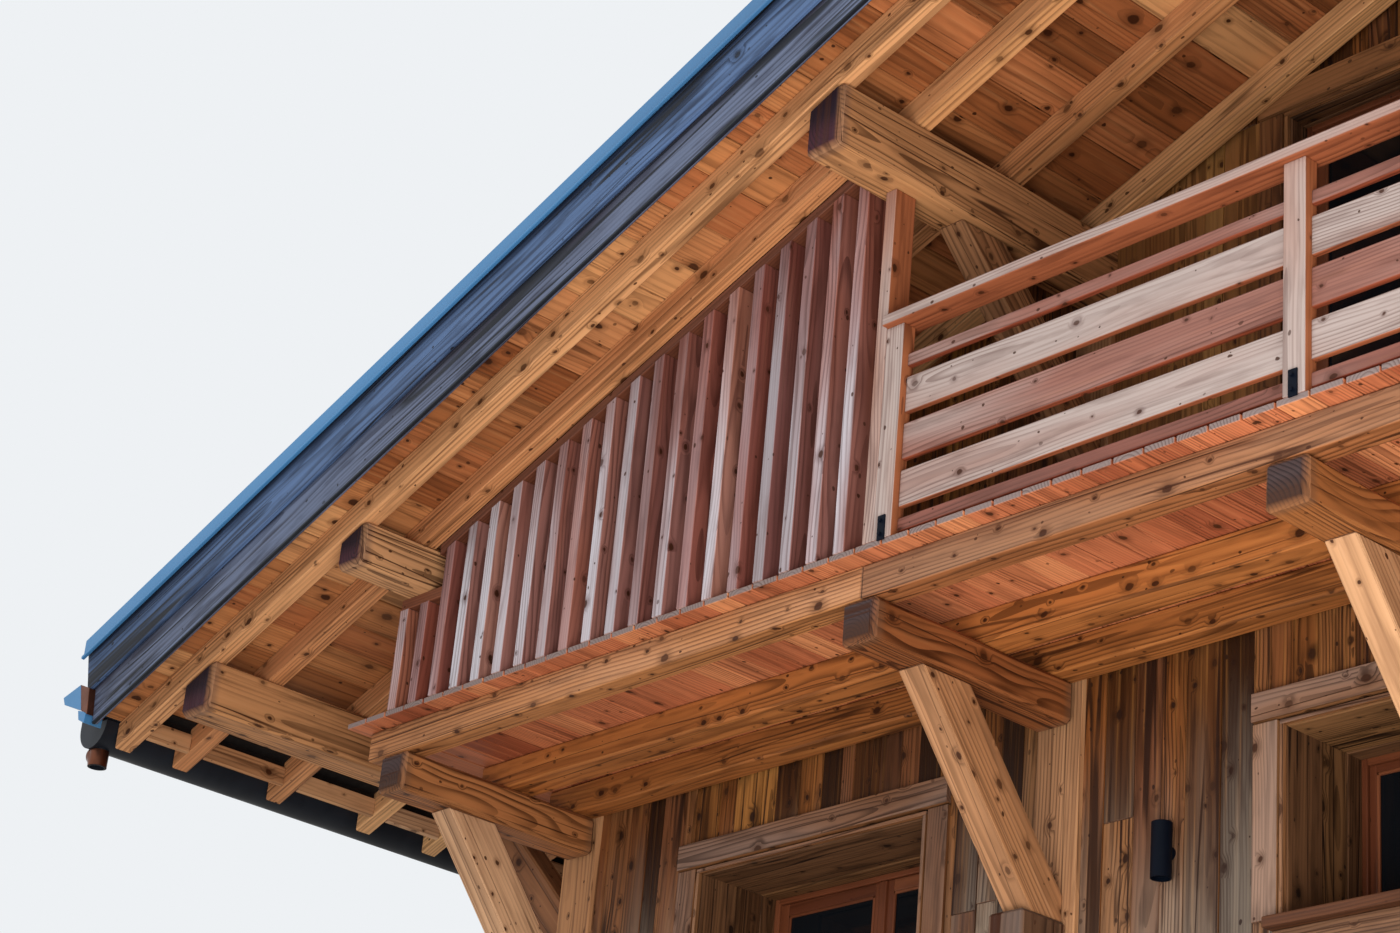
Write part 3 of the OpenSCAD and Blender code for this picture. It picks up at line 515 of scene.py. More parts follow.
@dataclass
class Carved:
    """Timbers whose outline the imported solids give, with bevelled edges and wood attributes."""

    name: str
    node: str
    seed: int
    lie: Callable[[np.ndarray], tuple[Vec, Vec]]
    bevel: float = 0.006
    grain: Grain = field(default_factory=Grain)

    def build(self) -> bpy.types.Object:
        """Copies the solids, bevels them and lays the grain along each.

        Returns:
            The sub-assembly's object.
        """
        piece = own_mesh(self.name, self.node)
        bevelled(piece, self.bevel)
        rng = np.random.default_rng(self.seed)
        mesh = piece.data
        points = np.array([v.co for v in mesh.vertices])
        normals, parts = main_normals(mesh), loose_parts(mesh)
        values = np.zeros((len(points), 12))
        for part in sorted(set(parts)):
            mine = parts == part
            length, up = (np.array(v, float) for v in self.lie(points[mine].mean(axis=0)))
            across = unit(np.cross(up, length))
            axes = np.array((unit(length), across, unit(np.cross(length, across))))
            values[mine] = self.grain.data(points[mine], normals[mine], axes, rng)
        self.grain.write(mesh, values)
        return piece


# Finishes


def linear(code: str) -> tuple[float, float, float, float]:
    """Turns an sRGB hex colour into linear light."""
    parts = [int(code[k : k + 2], 16) / 255 for k in (1, 3, 5)]
    return tuple(c / 12.92 if c <= 0.04045 else ((c + 0.055) / 1.055) ** 2.4 for c in parts) + (1.0,)


class Step(Enum):
    """Steps of a finish: node type, settings, sockets that its inputs go to in order, and main output."""

    PLACE = ("TexCoord", {}, (), "Object")
    READ = ("Attribute", {}, (), "Vector")
    SPLIT = ("SeparateXYZ", {}, (0,), 0)
    CHANCES = ("SeparateColor", {}, (0,), 0)
    JOIN = ("CombineXYZ", {}, (0, 1, 2), 0)
    STRETCH = ("VectorMath", {"operation": "MULTIPLY"}, (0, 1), 0)
    SHIFT = ("VectorMath", {"operation": "MULTIPLY_ADD"}, (0, 1, 2), 0)
    NOISE = ("TexNoise", {}, ("Vector", "Scale", "Detail"), 0)
    RUFFLE = ("TexNoise", {}, ("Vector", "Scale", "Detail"), "Color")
    CELLS = ("TexVoronoi", {"voronoi_dimensions": "2D"}, ("Vector", "Scale"), 0)
    RINGS = (
        "TexWave",
        {"wave_type": "RINGS", "rings_direction": "X", "wave_profile": "SAW"},
        ("Vector", "Scale"),
        1,
    )
    FADE = ("MapRange", {}, (0, 1, 2, 3, 4), 0)
    EASE = ("MapRange", {"interpolation_type": "SMOOTHSTEP"}, (0, 1, 2, 3, 4), 0)
    MIX = ("Mix", {"data_type": "RGBA"}, (0, 6, 7), 2)
    PRODUCT = ("Math", {"operation": "MULTIPLY"}, (0, 1), 0)
    TIMES = ("Math", {"operation": "MULTIPLY", "use_clamp": True}, (0, 1), 0)
    REST = ("Math", {"operation": "SUBTRACT", "use_clamp": True}, (0, 1), 0)
    EITHER = ("Math", {"operation": "MAXIMUM", "use_clamp": True}, (0, 1), 0)
    GREATER = ("Math", {"operation": "MAXIMUM"}, (0, 1), 0)
    LESSER = ("Math", {"operation": "MINIMUM"}, (0, 1), 0)
    BELOW = ("Math", {"operation": "LESS_THAN"}, (0, 1), 0)
    RATIO = ("Math", {"operation": "DIVIDE"}, (0, 1), 0)
    SUM = ("Math", {"operation": "ADD"}, (0, 1), 0)
    WEIGHED = ("Math", {"operation": "MULTIPLY_ADD"}, (0, 1, 2), 0)
    FRACTION = ("Math", {"operation": "FRACT"}, (0,), 0)
    SIZE = ("Math", {"operation": "ABSOLUTE"}, (0,), 0)
    RELIEF = ("Bump", {}, ("Strength", "Distance", "Height"), 0)
    PATH = ("LightPath", {}, (), "Is Camera Ray")
    GLOW = ("Background", {}, (0, 1), 0)
    CHOICE = ("MixShader", {}, (0, 1, 2), 0)


def connect(node: bpy.types.Node, inputs: dict) -> None:
    """Sets or links a node's inputs, each a value, a hex colour or another node's output."""
    for socket, value in inputs.items():
        if isinstance(value, bpy.types.NodeSocket):
            node.id_data.links.new(value, node.inputs[socket])
        else:
            node.inputs[socket].default_value = linear(value) if isinstance(value, str) else value


def add_node(
    tree: bpy.types.NodeTree, step: Step, *inputs: object, **settings: object
) -> bpy.types.NodeSocket:
    """Adds the node of a step, with its settings and links.

    Args:
        tree: The material's nodes.
        step: Which step it takes.
        inputs: What goes into its sockets, in the step's order.
        settings: Further properties of the node.

    Returns:
        Its main output, whose node has the others.
    """
    kind, fixed, sockets, output = step.value
    node = tree.nodes.new("ShaderNode" + kind)
    for name, value in {**fixed, **settings}.items():
        setattr(node, name, value)
    connect(node, dict(zip(sockets, inputs)))
    return node.outputs[output]


@dataclass(frozen=True)
class Finish:
    """What every finish has: a name, and nodes that feed its surface."""

    name: str

    def build(self) -> bpy.types.Material:
        """Builds the material.

        Returns:
            The material, with its surface fed by the finish's own nodes.
        """
        material = bpy.data.materials.new(self.name)
        material.use_nodes = True
        tree = material.node_tree
        connect(tree.nodes["Principled BSDF"], self.surface(partial(add_node, tree)))
        return material

    def surface(self, add: Add) -> dict[str, object]:
        """What goes into each socket of the surface."""
        raise NotImplementedError


@dataclass(frozen=True)
class Matt(Finish):
    """Plain matt paint of the studio."""

    colour: str

    def surface(self, add: Add) -> dict[str, object]:
        """Gives the surface its colour and dullness."""
        return {"Base Color": self.colour, "Roughness": 0.9}


@dataclass(frozen=True)
class Wood(Finish):
    """Softwood boards and timbers: growth rings, fibre, knots, drying cracks, end grain, weathering with
    painted sky light, and an optional painted shadow.
    """

    early: str
    late: str
    deep: str
    pale: str
    tint: str = ""
    # weathered colours, and how much of them a mask of faces turned out and up mixes in: partly weathering,
    # partly painted sky light
    worn_early: str = "#8f7f78"
    worn_late: str = "#5f504c"
    worn: float = 0.0
    end: str = "#7a5a48"
    end_late: str = "#4a3024"
    end_foot: str = ""
    band: str = ""
    band_mm: float = 80.0
    knot: str = "#3a1c0c"
    knot_mm: float = 24
    knot_step_mm: float = 170.0
    knot_share: float = 0.75
    speck_mm: float = 12.0
    speck_step_mm: float = 84.0
    speck_share: float = 0.25
    ring_mm: float = 18
    ring_mix: float = 0.7
    wander_mm: float = 80.0
    run: float = 0.7
    mottle: float = 0.3
    fibre_mm: float = 12.0
    fibre_mix: float = 0.4
    blotch: float = 0.35
    crack: float = 0.0
    rough: float = 0.62
    bump_mm: float = 1.6
    shelter_z: Optional[tuple[float, float]] = None
    # painted shadow: a dark colour towards the member's top, where a sheet or board above shades it
    painted_shadow: str = ""
    painted_shadow_span: tuple[float, float] = (0.5, 0.8)
    solid: bool = False

    def surface(self, add: Add) -> dict[str, object]:
        """Builds the wood's nodes.

        Args:
            add: Adds a node to this wood.

        Returns:
            What goes into each socket of the surface.
        """
        mix, ease, times, weighed = Step.MIX, Step.EASE, Step.TIMES, Step.WEIGHED
        place = add(Step.PLACE)
        if self.solid:
            grain, skin = add(Step.STRETCH, place, (1, 1, 1)), add(Step.STRETCH, place, (1, 1, 0))
            tone = add(Step.NOISE, add(Step.STRETCH, place, (0.3, 6.5, 0.3)), 1.0, 0.0)
            end, weather_and_sky_light, near, height = 0.0, 0.0, 1.0, 0.0
        else:
            grain, skin, facts, reach = (add(Step.READ, attribute_name=layer) for layer in LAYERS)
            tone, end, weather_and_sky_light = add(Step.SPLIT, facts).node.outputs
            first, last, height = add(Step.SPLIT, reach).node.outputs
            near = add(Step.LESSER, first, last)
        sides = add(Step.REST, 1.0, end)
        second = add(Step.FRACTION, add(Step.PRODUCT, tone, 7.31))

        def wavering(at: bpy.types.NodeSocket, stretch: Vec, amount: Vec) -> bpy.types.NodeSocket:
            """A pattern's place, shifted a little here and there."""
            ruffle = add(Step.RUFFLE, add(Step.STRETCH, at, stretch), 1.0, 1.0)
            return add(Step.SHIFT, ruffle, amount, at)

        def cloud(stretch: Vec, detail: float) -> bpy.types.NodeSocket:
            """Soft patches on the skin, drawn out along it."""
            return add(Step.NOISE, add(Step.STRETCH, skin, stretch), 1.0, detail)

        # knots and pin knots, as dark uneven spots with a browned halo
        uneven = wavering(skin, (26, 38, 1), (0.016, 0.012, 0))

        def spots(step_mm: float, size_mm: float, share: float) -> tuple[bpy.types.NodeSocket, ...]:
            """Spots of a size, one or none to a cell, with the halo around them."""
            cell = 1000 / step_mm
            radius = size_mm / 2000 * cell
            found = add(Step.CELLS, add(Step.STRETCH, uneven, (cell * 0.72, cell, 0)), 1.0).node.outputs
            chances = add(Step.CHANCES, found["Color"]).node.outputs
            kept = add(times, add(Step.BELOW, chances[0], share), sides)
            kept = add(times, kept, add(ease, chances[2], 0.0, 0.6, 0.6, 1.0))
            size = add(weighed, add(Step.PRODUCT, chances[1], chances[1]), 1.1, 0.5)
            far = add(Step.RATIO, found["Distance"], size)
            spans = ((0.75, 1.1), (0.6, 3.2))
            return tuple(add(times, add(ease, far, radius * a, radius * b, 1.0, 0.0), kept) for a, b in spans)

        knot, halo = spots(self.knot_step_mm, self.knot_mm, self.knot_share)
        speck = spots(self.speck_step_mm, self.speck_mm, self.speck_share)[0]

        # growth rings, drawn wider than real ones so that they show, long drawn out and bent around the knots
        drift = self.wander_mm / 1000
        bent = wavering(grain, (self.run, 3, 3), (0, drift, drift))
        push = add(Step.JOIN, 0.0, add(times, halo, 0.024), add(times, halo, 0.017))
        bent = add(Step.SHIFT, push, (1, 1, 1), bent)
        rings = add(Step.RINGS, bent, 0.314 / (self.ring_mm / 1000))
        bold = add(ease, cloud((0.5, 5, 1), 1.0), 0.36, 0.6, 0.3, 1.0)
        line = add(times, add(ease, rings, 0.42, 0.9), bold)

        # long fibres, and broad lighter and darker flames
        across = 500 / self.fibre_mm
        fibre = cloud((across / 45, across, 1), 3.0)
        flame = cloud((0.7, 4.5, 1), 2.0)

        # the wood's own colour, from deep to pale by its tone
        body = add(mix, add(ease, tone, 0.0, 0.45), self.deep, self.early)
        body = add(mix, add(ease, tone, 0.6, 1.0), body, self.pale)
        if self.tint:
            body = add(mix, add(ease, second, 0.4, 1.0, 0.0, 0.75), body, self.tint)
        shade = add(mix, add(ease, tone, 0.0, 0.4, 0.6, 0.0), self.late, self.knot)
        rung = add(times, line, self.ring_mix)
        colour = add(mix, rung, body, shade)
        colour = add(mix, add(ease, flame, 0.5, 0.72, 0.0, self.blotch), colour, shade)

        # weathered wood over it on faces turned out and up: partly real weathering where rain and sun reach,
        # partly painted sky light
        worn = add(times, weather_and_sky_light, self.worn)
        # less of both under the roof higher up: less weathering, and less painted sky light
        if self.shelter_z:
            level = add(weighed, flame, 1.2, add(Step.SPLIT, place).node.outputs[2])
            worn = add(times, worn, add(ease, level, *self.shelter_z, 1.0, 0.0))
        worn = add(times, worn, add(ease, add(weighed, second, 0.4, flame), 0.45, 0.9, 1.0, 0.25))
        old = add(mix, rung, self.worn_early, self.worn_late)
        old = add(mix, add(ease, tone, 0.0, 0.5, 0.55, 0.0), old, self.worn_late)
        colour = add(mix, worn, colour, old)
        dark, light = add(mix, worn, shade, self.worn_late), add(mix, worn, self.pale, self.worn_early)
        colour = add(mix, add(ease, fibre, 0.5, 0.76, 0.0, self.fibre_mix), colour, dark)
        colour = add(mix, add(ease, fibre, 0.24, 0.5, self.fibre_mix * 0.6, 0.0), colour, light)
        colour = add(mix, add(ease, cloud((2.4, 17, 1), 4.0), 0.5, 0.68, 0.0, self.mottle), colour, dark)
        colour = add(mix, add(times, halo, 0.55), colour, shade)

        # faded bands near the ends, end grain, painted shadow towards the top, and knots
        if self.band:
            faded = add(ease, near, self.band_mm / 2500, self.band_mm / 1000, 0.5, 0.0)
            colour = add(mix, add(times, faded, sides), colour, self.band)
        butt = add(mix, add(ease, height, 0.3, 0.62), self.end_foot or self.end, self.end)
        butt = add(mix, add(times, line, 0.8), butt, self.end_late)
        colour = add(mix, end, colour, butt)
        # painted shadow: darker towards the member's top, unevenly, where a sheet or board above shades it
        if self.painted_shadow:
            level = add(weighed, flame, 0.5, add(Step.SUM, height, -0.25))
            colour = add(mix, add(times, add(ease, level, *self.painted_shadow_span), 0.85), colour, self.painted_shadow)
        colour = add(mix, add(times, add(Step.EITHER, knot, speck), 0.92), colour, self.knot)
        relief = add(weighed, line, -0.35, add(weighed, fibre, -0.5, add(times, knot, 0.3)))

        # drying cracks along the fibre
        if self.crack:
            shake = add(Step.SIZE, add(Step.SUM, cloud((0.32, 12, 1), 0.6), -0.5))
            shake = add(times, add(ease, shake, 0.007, 0.026, 1.0, 0.0), add(ease, flame, 0.44, 0.54))
            shake = add(times, shake, self.crack)
            colour = add(mix, shake, colour, self.knot)
            relief = add(weighed, shake, -1.5, relief)
        return {
            "Base Color": colour,
            "Roughness": add(ease, fibre, 0.3, 0.7, self.rough + 0.1, self.rough - 0.06),
            "Normal": add(Step.RELIEF, 0.8, self.bump_mm / 1000, relief),
            "Specular IOR Level": 0.35,
        }


@dataclass(frozen=True)
class Sheet(Finish):
    """Painted or bare sheet metal: rain streaks, dulled patches, a faint unevenness, and an optional painted
    sky reflection towards the eaves.
    """

    colour: str
    streak: str
    metallic: float = 0.0
    rough: float = 0.4
    patch_mm: float = 400.0
    mix: float = 0.5
    bump_mm: float = 1.0
    gloss: float = 0.5
    # painted sky reflection: a clearer colour mixed in with distance from the ridge line
    eave: str = ""
    sky_reflection_span: tuple[float, float] = (6.0, 8.0)

    def surface(self, add: Add) -> dict[str, object]:
        """Builds the metal's nodes.

        Args:
            add: Adds a node to this metal.

        Returns:
            What goes into each socket of the surface.
        """
        place = add(Step.PLACE)
        patch = add(Step.NOISE, place, 1000 / self.patch_mm, 5.0)
        run = add(Step.NOISE, add(Step.STRETCH, place, (9, 9, 0.8)), 1.0, 3.0)
        share = add(Step.EASE, add(Step.PRODUCT, patch, run), 0.16, 0.36, 0.0, self.mix)
        colour = add(Step.MIX, share, self.colour, self.streak)
        # painted sky reflection: clearer blue with distance from the ridge line, towards the eaves
        if self.eave:
            share = add(Step.EASE, add(Step.SIZE, add(Step.SPLIT, place)), *self.sky_reflection_span)
            colour = add(Step.MIX, share, colour, self.eave)
        return {
            "Base Color": colour,
            "Roughness": add(Step.FADE, patch, 0.3, 0.7, self.rough - 0.08, self.rough + 0.12),
            "Normal": add(Step.RELIEF, 0.5, self.bump_mm / 1000, patch),
            "Metallic": self.metallic,
            "Specular IOR Level": self.gloss,
        }


@dataclass(frozen=True)
class Stone(Finish):
    """Split granite: light and dark crystals, rusty veins and a rough face."""

    light: str = "#8f8b84"
    dark: str = "#4d4a47"
    rust: str = "#7d6a55"
    crystal_mm: float = 14.0
    patch_mm: float = 1000 / 2.2

    def surface(self, add: Add) -> dict[str, object]:
        """Builds the stone's nodes.

        Args:
            add: Adds a node to this stone.

        Returns:
            What goes into each socket of the surface.
        """
        place = add(Step.PLACE)
        fine = add(Step.NOISE, place, 1000 / self.crystal_mm, 3.0)
        broad = add(Step.NOISE, place, 1000 / self.patch_mm, 6.0)
        colour = add(Step.MIX, add(Step.FADE, fine, 0.4, 0.62), self.light, self.dark)
        return {
            "Base Color": add(Step.MIX, add(Step.FADE, broad, 0.45, 0.7, 0.0, 0.7), colour, self.rust),
            "Normal": add(Step.RELIEF, 1.0, 0.012, add(Step.WEIGHED, fine, 0.4, broad)),
            "Roughness": 0.85,
        }


@dataclass(frozen=True)
class Glass(Finish):
    """Insulating glass before a dark room: a near-black depth under a sharp gloss that wavers slightly."""

    colour: str = "#0b0d10"
    far: str = "#15191e"

    def surface(self, add: Add) -> dict[str, object]:
        """Builds the glass's nodes.

        Args:
            add: Adds a node to this glass.

        Returns:
            What goes into each socket of the surface.
        """
        cloud = add(Step.NOISE, add(Step.PLACE), 1.1, 1.0)
        return {
            "Base Color": add(Step.MIX, cloud, self.colour, self.far),
            "Normal": add(Step.RELIEF, 0.15, 0.02, cloud),
            "Roughness": 0.06,
            "Specular IOR Level": 0.22,
        }


class Finishes(Enum):
    """The chalet's finishes, each with the record's slot that it belongs to."""

    # planed spruce rafters, honey gold with dark knots and long soft grain
    RAFTER = ("rafter_wood", Wood("planed_spruce_rafters", "#e0a56d", "#643c1f", "#c38352", "#f5bf85",
        tint="#bf774b", worn_early="#b88b6e", worn_late="#674630", worn=0.3, end="#a88c78",
        end_late="#6b4f3e", knot="#40200e", knot_mm=26, knot_step_mm=165, ring_mix=0.55, wander_mm=60,
        run=0.4, crack=0.5))
    # spruce soffit planks, amber between dark knots, with every plank another tone
    SOFFIT = ("soffit_wood", Wood("spruce_soffit_planks", "#bc7b4a", "#4c2611", "#8c4f2a", "#d09763",
        tint="#a75f38", knot="#2d1206", knot_mm=30, ring_mix=0.42, mottle=0.25, blotch=0.45, crack=0.4))
    # hewn larch timbers: bold dark rings, long drying cracks, purple-black weathered ends
    HEWN = ("hewn_wood", Wood("hewn_larch_timbers", "#c18858", "#452611", "#a36b42", "#d49f6f",
        tint="#a46841", worn_early="#a17865", worn_late="#52362b", worn=0.4, end="#1a0b18",
        end_late="#160c13", end_foot="#3c1d27", band="#6e5448", knot_step_mm=160, knot_share=0.7,
        speck_share=0.4, ring_mm=20, wander_mm=100, run=0.8, mottle=0.35, crack=0.9))
    # console timbers, browner than the purlins, with grey-black cracked ends
    CONSOLE = ("hewn_wood", Wood("hewn_larch_consoles", "#9e6235", "#381807", "#804928", "#b17446",
        tint="#884b27", worn_early="#8d6a53", worn_late="#483125", worn=0.45, end="#403130",
        end_late="#1d1313", end_foot="#3e261b", band="#6b4d38", knot_mm=26, knot_step_mm=180,
        knot_share=0.65, ring_mix=0.85, wander_mm=130, run=1.3, mottle=0.35, crack=0.9))
    # corbel blocks, dark and greyed like the console ends
    CORBEL = ("grey_wood", Wood("hewn_larch_corbels", "#664834", "#2d1d15", "#46332a", "#80634a",
        worn_early="#6a5d57", worn_late="#352c29", worn=0.8, end="#5b4a40", end_late="#2c2422",
        knot_step_mm=240, knot_share=0.5, ring_mix=0.8, mottle=0.6, crack=1.0))
    # planed larch posts, golden, with a few knots
    POST = ("post_wood", Wood("planed_larch_posts", "#b8865c", "#51301c", "#9e6b46", "#ca9c72",
        tint="#9e6846", worn_early="#a88163", worn_late="#583d2b", worn=0.3, knot_step_mm=160,
        ring_mix=0.65, crack=0.6))
    # fresh sawn spruce of the struts, the palest timber of the house
    STRUT = ("post_wood", Wood("sawn_spruce_struts", "#c9976b", "#6c452b", "#b78156", "#d9ac84",
        worn_early="#cb9d7e", worn_late="#815b3b", worn=0.5, knot_mm=22, knot_step_mm=150, knot_share=0.8,
        ring_mm=20, ring_mix=0.5, crack=0.5))
    # brown joists under the deck
    JOIST = ("joist_wood", Wood("sawn_spruce_joists", "#bf7940", "#4c270f", "#9b5e2f", "#db9551",
        tint="#a55f2e", knot="#331708", knot_step_mm=140, knot_share=0.8, run=1.0, mottle=0.4, crack=0.7))
    # edge beam, paler on its front face: partly weathering, partly painted sky light
    EDGE = ("post_wood", Wood("larch_edge_beam", "#b27443", "#4c2912", "#9a5f38", "#c68c5a",
        worn_early="#c69672", worn_late="#4d3226", worn=0.85, knot_mm=26, knot_step_mm=150, knot_share=0.8,
        run=0.8, mottle=0.35, crack=0.9))
    # red-brown larch of the deck, railing and slats, silvered to lilac on faces turned out and up: partly
    # weathering, partly painted sky light
    LARCH = ("larch", Wood("oiled_larch", "#965542", "#451c15", "#7a3d32", "#ac6c53", tint="#803c32",
        worn_early="#c0bfc7", worn_late="#6c5959", worn=0.95, end="#a98f88", end_late="#6c524b", knot_mm=18,
        knot_share=0.6, ring_mm=15, ring_mix=0.6, wander_mm=90, run=0.9, mottle=0.35, shelter_z=(7.0, 8.6)))
    # the same larch at the railing: salmon-beige on faces turned out and up (partly weathering, partly
    # painted sky light), orange beneath
    RAILING = ("larch", replace(LARCH[1], name="oiled_larch_railing", early="#904e31", late="#42190d",
        deep="#763723", pale="#a7633e", tint="#7d3623", worn_early="#ad9f99", worn_late="#644b43"))
    # top rails of the screens, stained darker by the roof's shelter
    DARK_LARCH = ("larch", Wood("sheltered_larch", "#70402c", "#43221a", "#5a3022", "#8a5238",
        worn_early="#7d5a4c", worn_late="#50342c", worn=0.4, knot_mm=16, knot_step_mm=260, knot_share=0.3,
        ring_mm=15, ring_mix=0.6))
    # deck planks, orange beneath with silvered ends
    DECK = ("larch", Wood("larch_deck_planks", "#c8764e", "#592a18", "#9b5033", "#df9260", tint="#ac5d3a",
        worn_early="#a98f85", worn_late="#5d4a43", worn=0.9, end="#80706c", end_late="#5f4c47", knot_mm=20,
        knot_share=0.6, ring_mm=16, ring_mix=0.65))
    # barn boards used again on the walls: from near-black to gold, silver-lilac on faces turned out and up,
    # partly where rain reaches them and partly painted sky light
    BOARDS = ("wall_boards", Wood("reclaimed_wall_boards", "#824c24", "#301603", "#2b1607", "#ac733a",
        tint="#72462f", worn_early="#8c8071", worn_late="#40332c", worn=0.9, knot="#26130b",
        knot_step_mm=130, speck_share=0.3, ring_mm=16, ring_mix=0.8, wander_mm=90, run=1.0, mottle=0.6,
        fibre_mix=0.65, blotch=0.6, crack=0.9, bump_mm=2.6, shelter_z=(5.0, 6.0)))
    # clean golden boards of the gable, dry under the roof
    GABLE = ("wall_boards", Wood("dry_gable_boards", "#9b6735", "#412309", "#815022", "#ae7e43",
        tint="#814c24", worn_early="#a6805c", worn_late="#5d402b", worn=0.3, knot_mm=22, knot_step_mm=160,
        knot_share=0.7, ring_mm=17, ring_mix=0.65, crack=0.5))
    # blue-grey weathered barge boards, with a painted shadow darkening their upper part under the sheet above
    # them
    BARGE = ("grey_boards", Wood("weathered_barge_boards", "#41577b", "#161f32", "#293a54", "#6b86b1",
        worn_early="#546c91", worn_late="#1e283f", worn=0.6, end="#55585f", end_late="#2b2d32",
        knot="#202228", knot_step_mm=400, knot_share=0.3, ring_mm=17, ring_mix=0.75, mottle=0.6,
        fibre_mix=0.8, blotch=0.6, crack=1.0, bump_mm=2.4, painted_shadow="#1e2536", painted_shadow_span=(0.45, 0.8)))
    # lower barge boards, browner, with painted shade darkening their upper part along the joint under the
    # upper boards
    LOW_BARGE = ("grey_boards", replace(BARGE[1], name="stained_barge_boards", early="#535c73",
        late="#1f202d", deep="#393d53", pale="#7786a4", tint="#6e584d", worn_early="#616e88",
        worn_late="#2b2e3f", ring_mix=0.7, painted_shadow="#231a20", painted_shadow_span=(0.3, 0.5)))
    # golden-brown casings and sills around the windows, greyed on faces turned out and up: partly weathering,
    # partly painted sky light
    CASING = ("grey_wood", Wood("weathered_casings", "#92603a", "#381e0e", "#754a2b", "#a5734a",
        tint="#785439", worn_early="#857b77", worn_late="#453933", worn=0.55, knot="#3a2012", knot_mm=26,
        knot_share=0.7, ring_mm=15, ring_mix=0.75, run=1.0, mottle=0.4, fibre_mix=0.5, crack=0.8,
        shelter_z=(5.6, 6.4)))
    # thin sills, oiled dark red-brown
    SILL = ("grey_wood", Wood("dark_oiled_sills", "#4d2c1a", "#2b150e", "#3c2013", "#623c26",
        worn_early="#604131", worn_late="#3b241a", worn=0.4, knot_mm=16, knot_step_mm=300, knot_share=0.3,
        ring_mm=14, ring_mix=0.6, crack=0.5))
    # olive-brown planks that line the reveals
    LINING = ("grey_wood", Wood("old_reveal_planks", "#6d4a31", "#261509", "#50331f", "#875e39",
        knot="#1c100a", knot_mm=26, knot_share=0.7, ring_mm=16, run=1.0, mottle=0.5, fibre_mix=0.5,
        crack=0.95))
    # red-brown stained window frames and doors
    FRAME = ("frame_wood", Wood("stained_window_frames", "#743f26", "#4e2716", "#61321e", "#854d31",
        knot_mm=12, knot_step_mm=500, knot_share=0.2, speck_share=0.1, ring_mm=12, ring_mix=0.45,
        fibre_mix=0.35, rough=0.5, bump_mm=0.6))
    # near-black backing that shows in the joints behind the boards: painted shade in the joints
    BACKING = ("wall_boards", Wood("dark_boarding_behind", "#2c1c12", "#1a100a", "#23150d", "#362317",
        knot_mm=10, knot_step_mm=500, knot_share=0.1, ring_mm=16.0, ring_mix=0.3, solid=True))
    # floor boards inside
    FLOOR = ("floor_wood", Wood("spruce_floor_boards", "#b3875a", "#8a5f3a", "#9d7348", "#c29a6d",
        knot_mm=26, knot_step_mm=300, knot_share=0.4, ring_mm=16.0, ring_mix=0.6, solid=True))
    # pressed wood fibre of the roof deck
    FIBRE = ("roof_deck", Wood("wood_fibre_deck", "#3a2a1c", "#281b11", "#302216", "#453222", knot_mm=8,
        knot_step_mm=400, knot_share=0.1, ring_mm=16.0, ring_mix=0.2, solid=True))
    # coil-coated standing-seam sheet, dull blue-grey
    ROOF = ("roof_metal", Sheet("coated_roof_sheet", "#59636e", "#474f59", 0.25, 0.42))
    # folded verge sheet, dark slate blue, with a painted sky reflection: clearer blue towards the eaves
    FLASHING = ("flashing", Sheet("coated_verge_sheet", "#3b5578", "#2f4462", 0.2, 0.36, patch_mm=700,
        eave="#4a86b8", sky_reflection_span=(-1.5, 7.0)))
    # anthracite gutters
    GUTTER = ("gutter_metal", Sheet("anthracite_gutter_sheet", "#1e2229", "#14171d", 0.1, 0.42, gloss=0.25))
    # browned copper of the outlet and the verge ends
    COPPER = ("gutter_metal", Sheet("browned_copper", "#7a4a36", "#4a2c22", 0.9, 0.35, patch_mm=90))
    # black woven strip in the air slots
    VENT = ("gutter_metal", Sheet("black_vent_strip", "#0c0a0a", "#151212", 0.0, 0.8, patch_mm=40))
    # powder-coated black steel of brackets and lamps; the faint blue in the black is a painted sky reflection
    STEEL = ("black_steel", Sheet("powder_coated_steel", "#060b14", "#0a101c", 0.0, 0.5, patch_mm=60,
        gloss=0.12))
    STONE = ("stone", Stone("split_granite"))
    MORTAR = ("stone", Stone("lime_mortar", "#7f7a72", "#69645d", "#6d655a", 6.0))
    GLASS = ("glass", Glass("dark_glazing"))

    def material(self) -> bpy.types.Material:
        """The finish's material, built when it is first used."""
        name = self.value[1].name
        return bpy.data.materials.get(name) or self.value[1].build()

    def dress(self, piece: bpy.types.Object, *replaced: str) -> bpy.types.Object:
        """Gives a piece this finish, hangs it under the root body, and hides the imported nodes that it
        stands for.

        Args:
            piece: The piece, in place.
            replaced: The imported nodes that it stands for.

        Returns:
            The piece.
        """
        piece.data.materials.clear()
        piece.data.materials.append(self.material())
        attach(piece, "root")
        if replaced:
            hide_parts(*replaced)
        log.info("%s: %d faces", piece.name, len(piece.data.polygons))
        return piece

    def paint(self, node: str) -> None:
        """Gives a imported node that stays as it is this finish."""
        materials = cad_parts[node].data.materials
        materials.clear()
        materials.append(self.material())
        log.info("%s: packed solid", node)


# Roof timbers


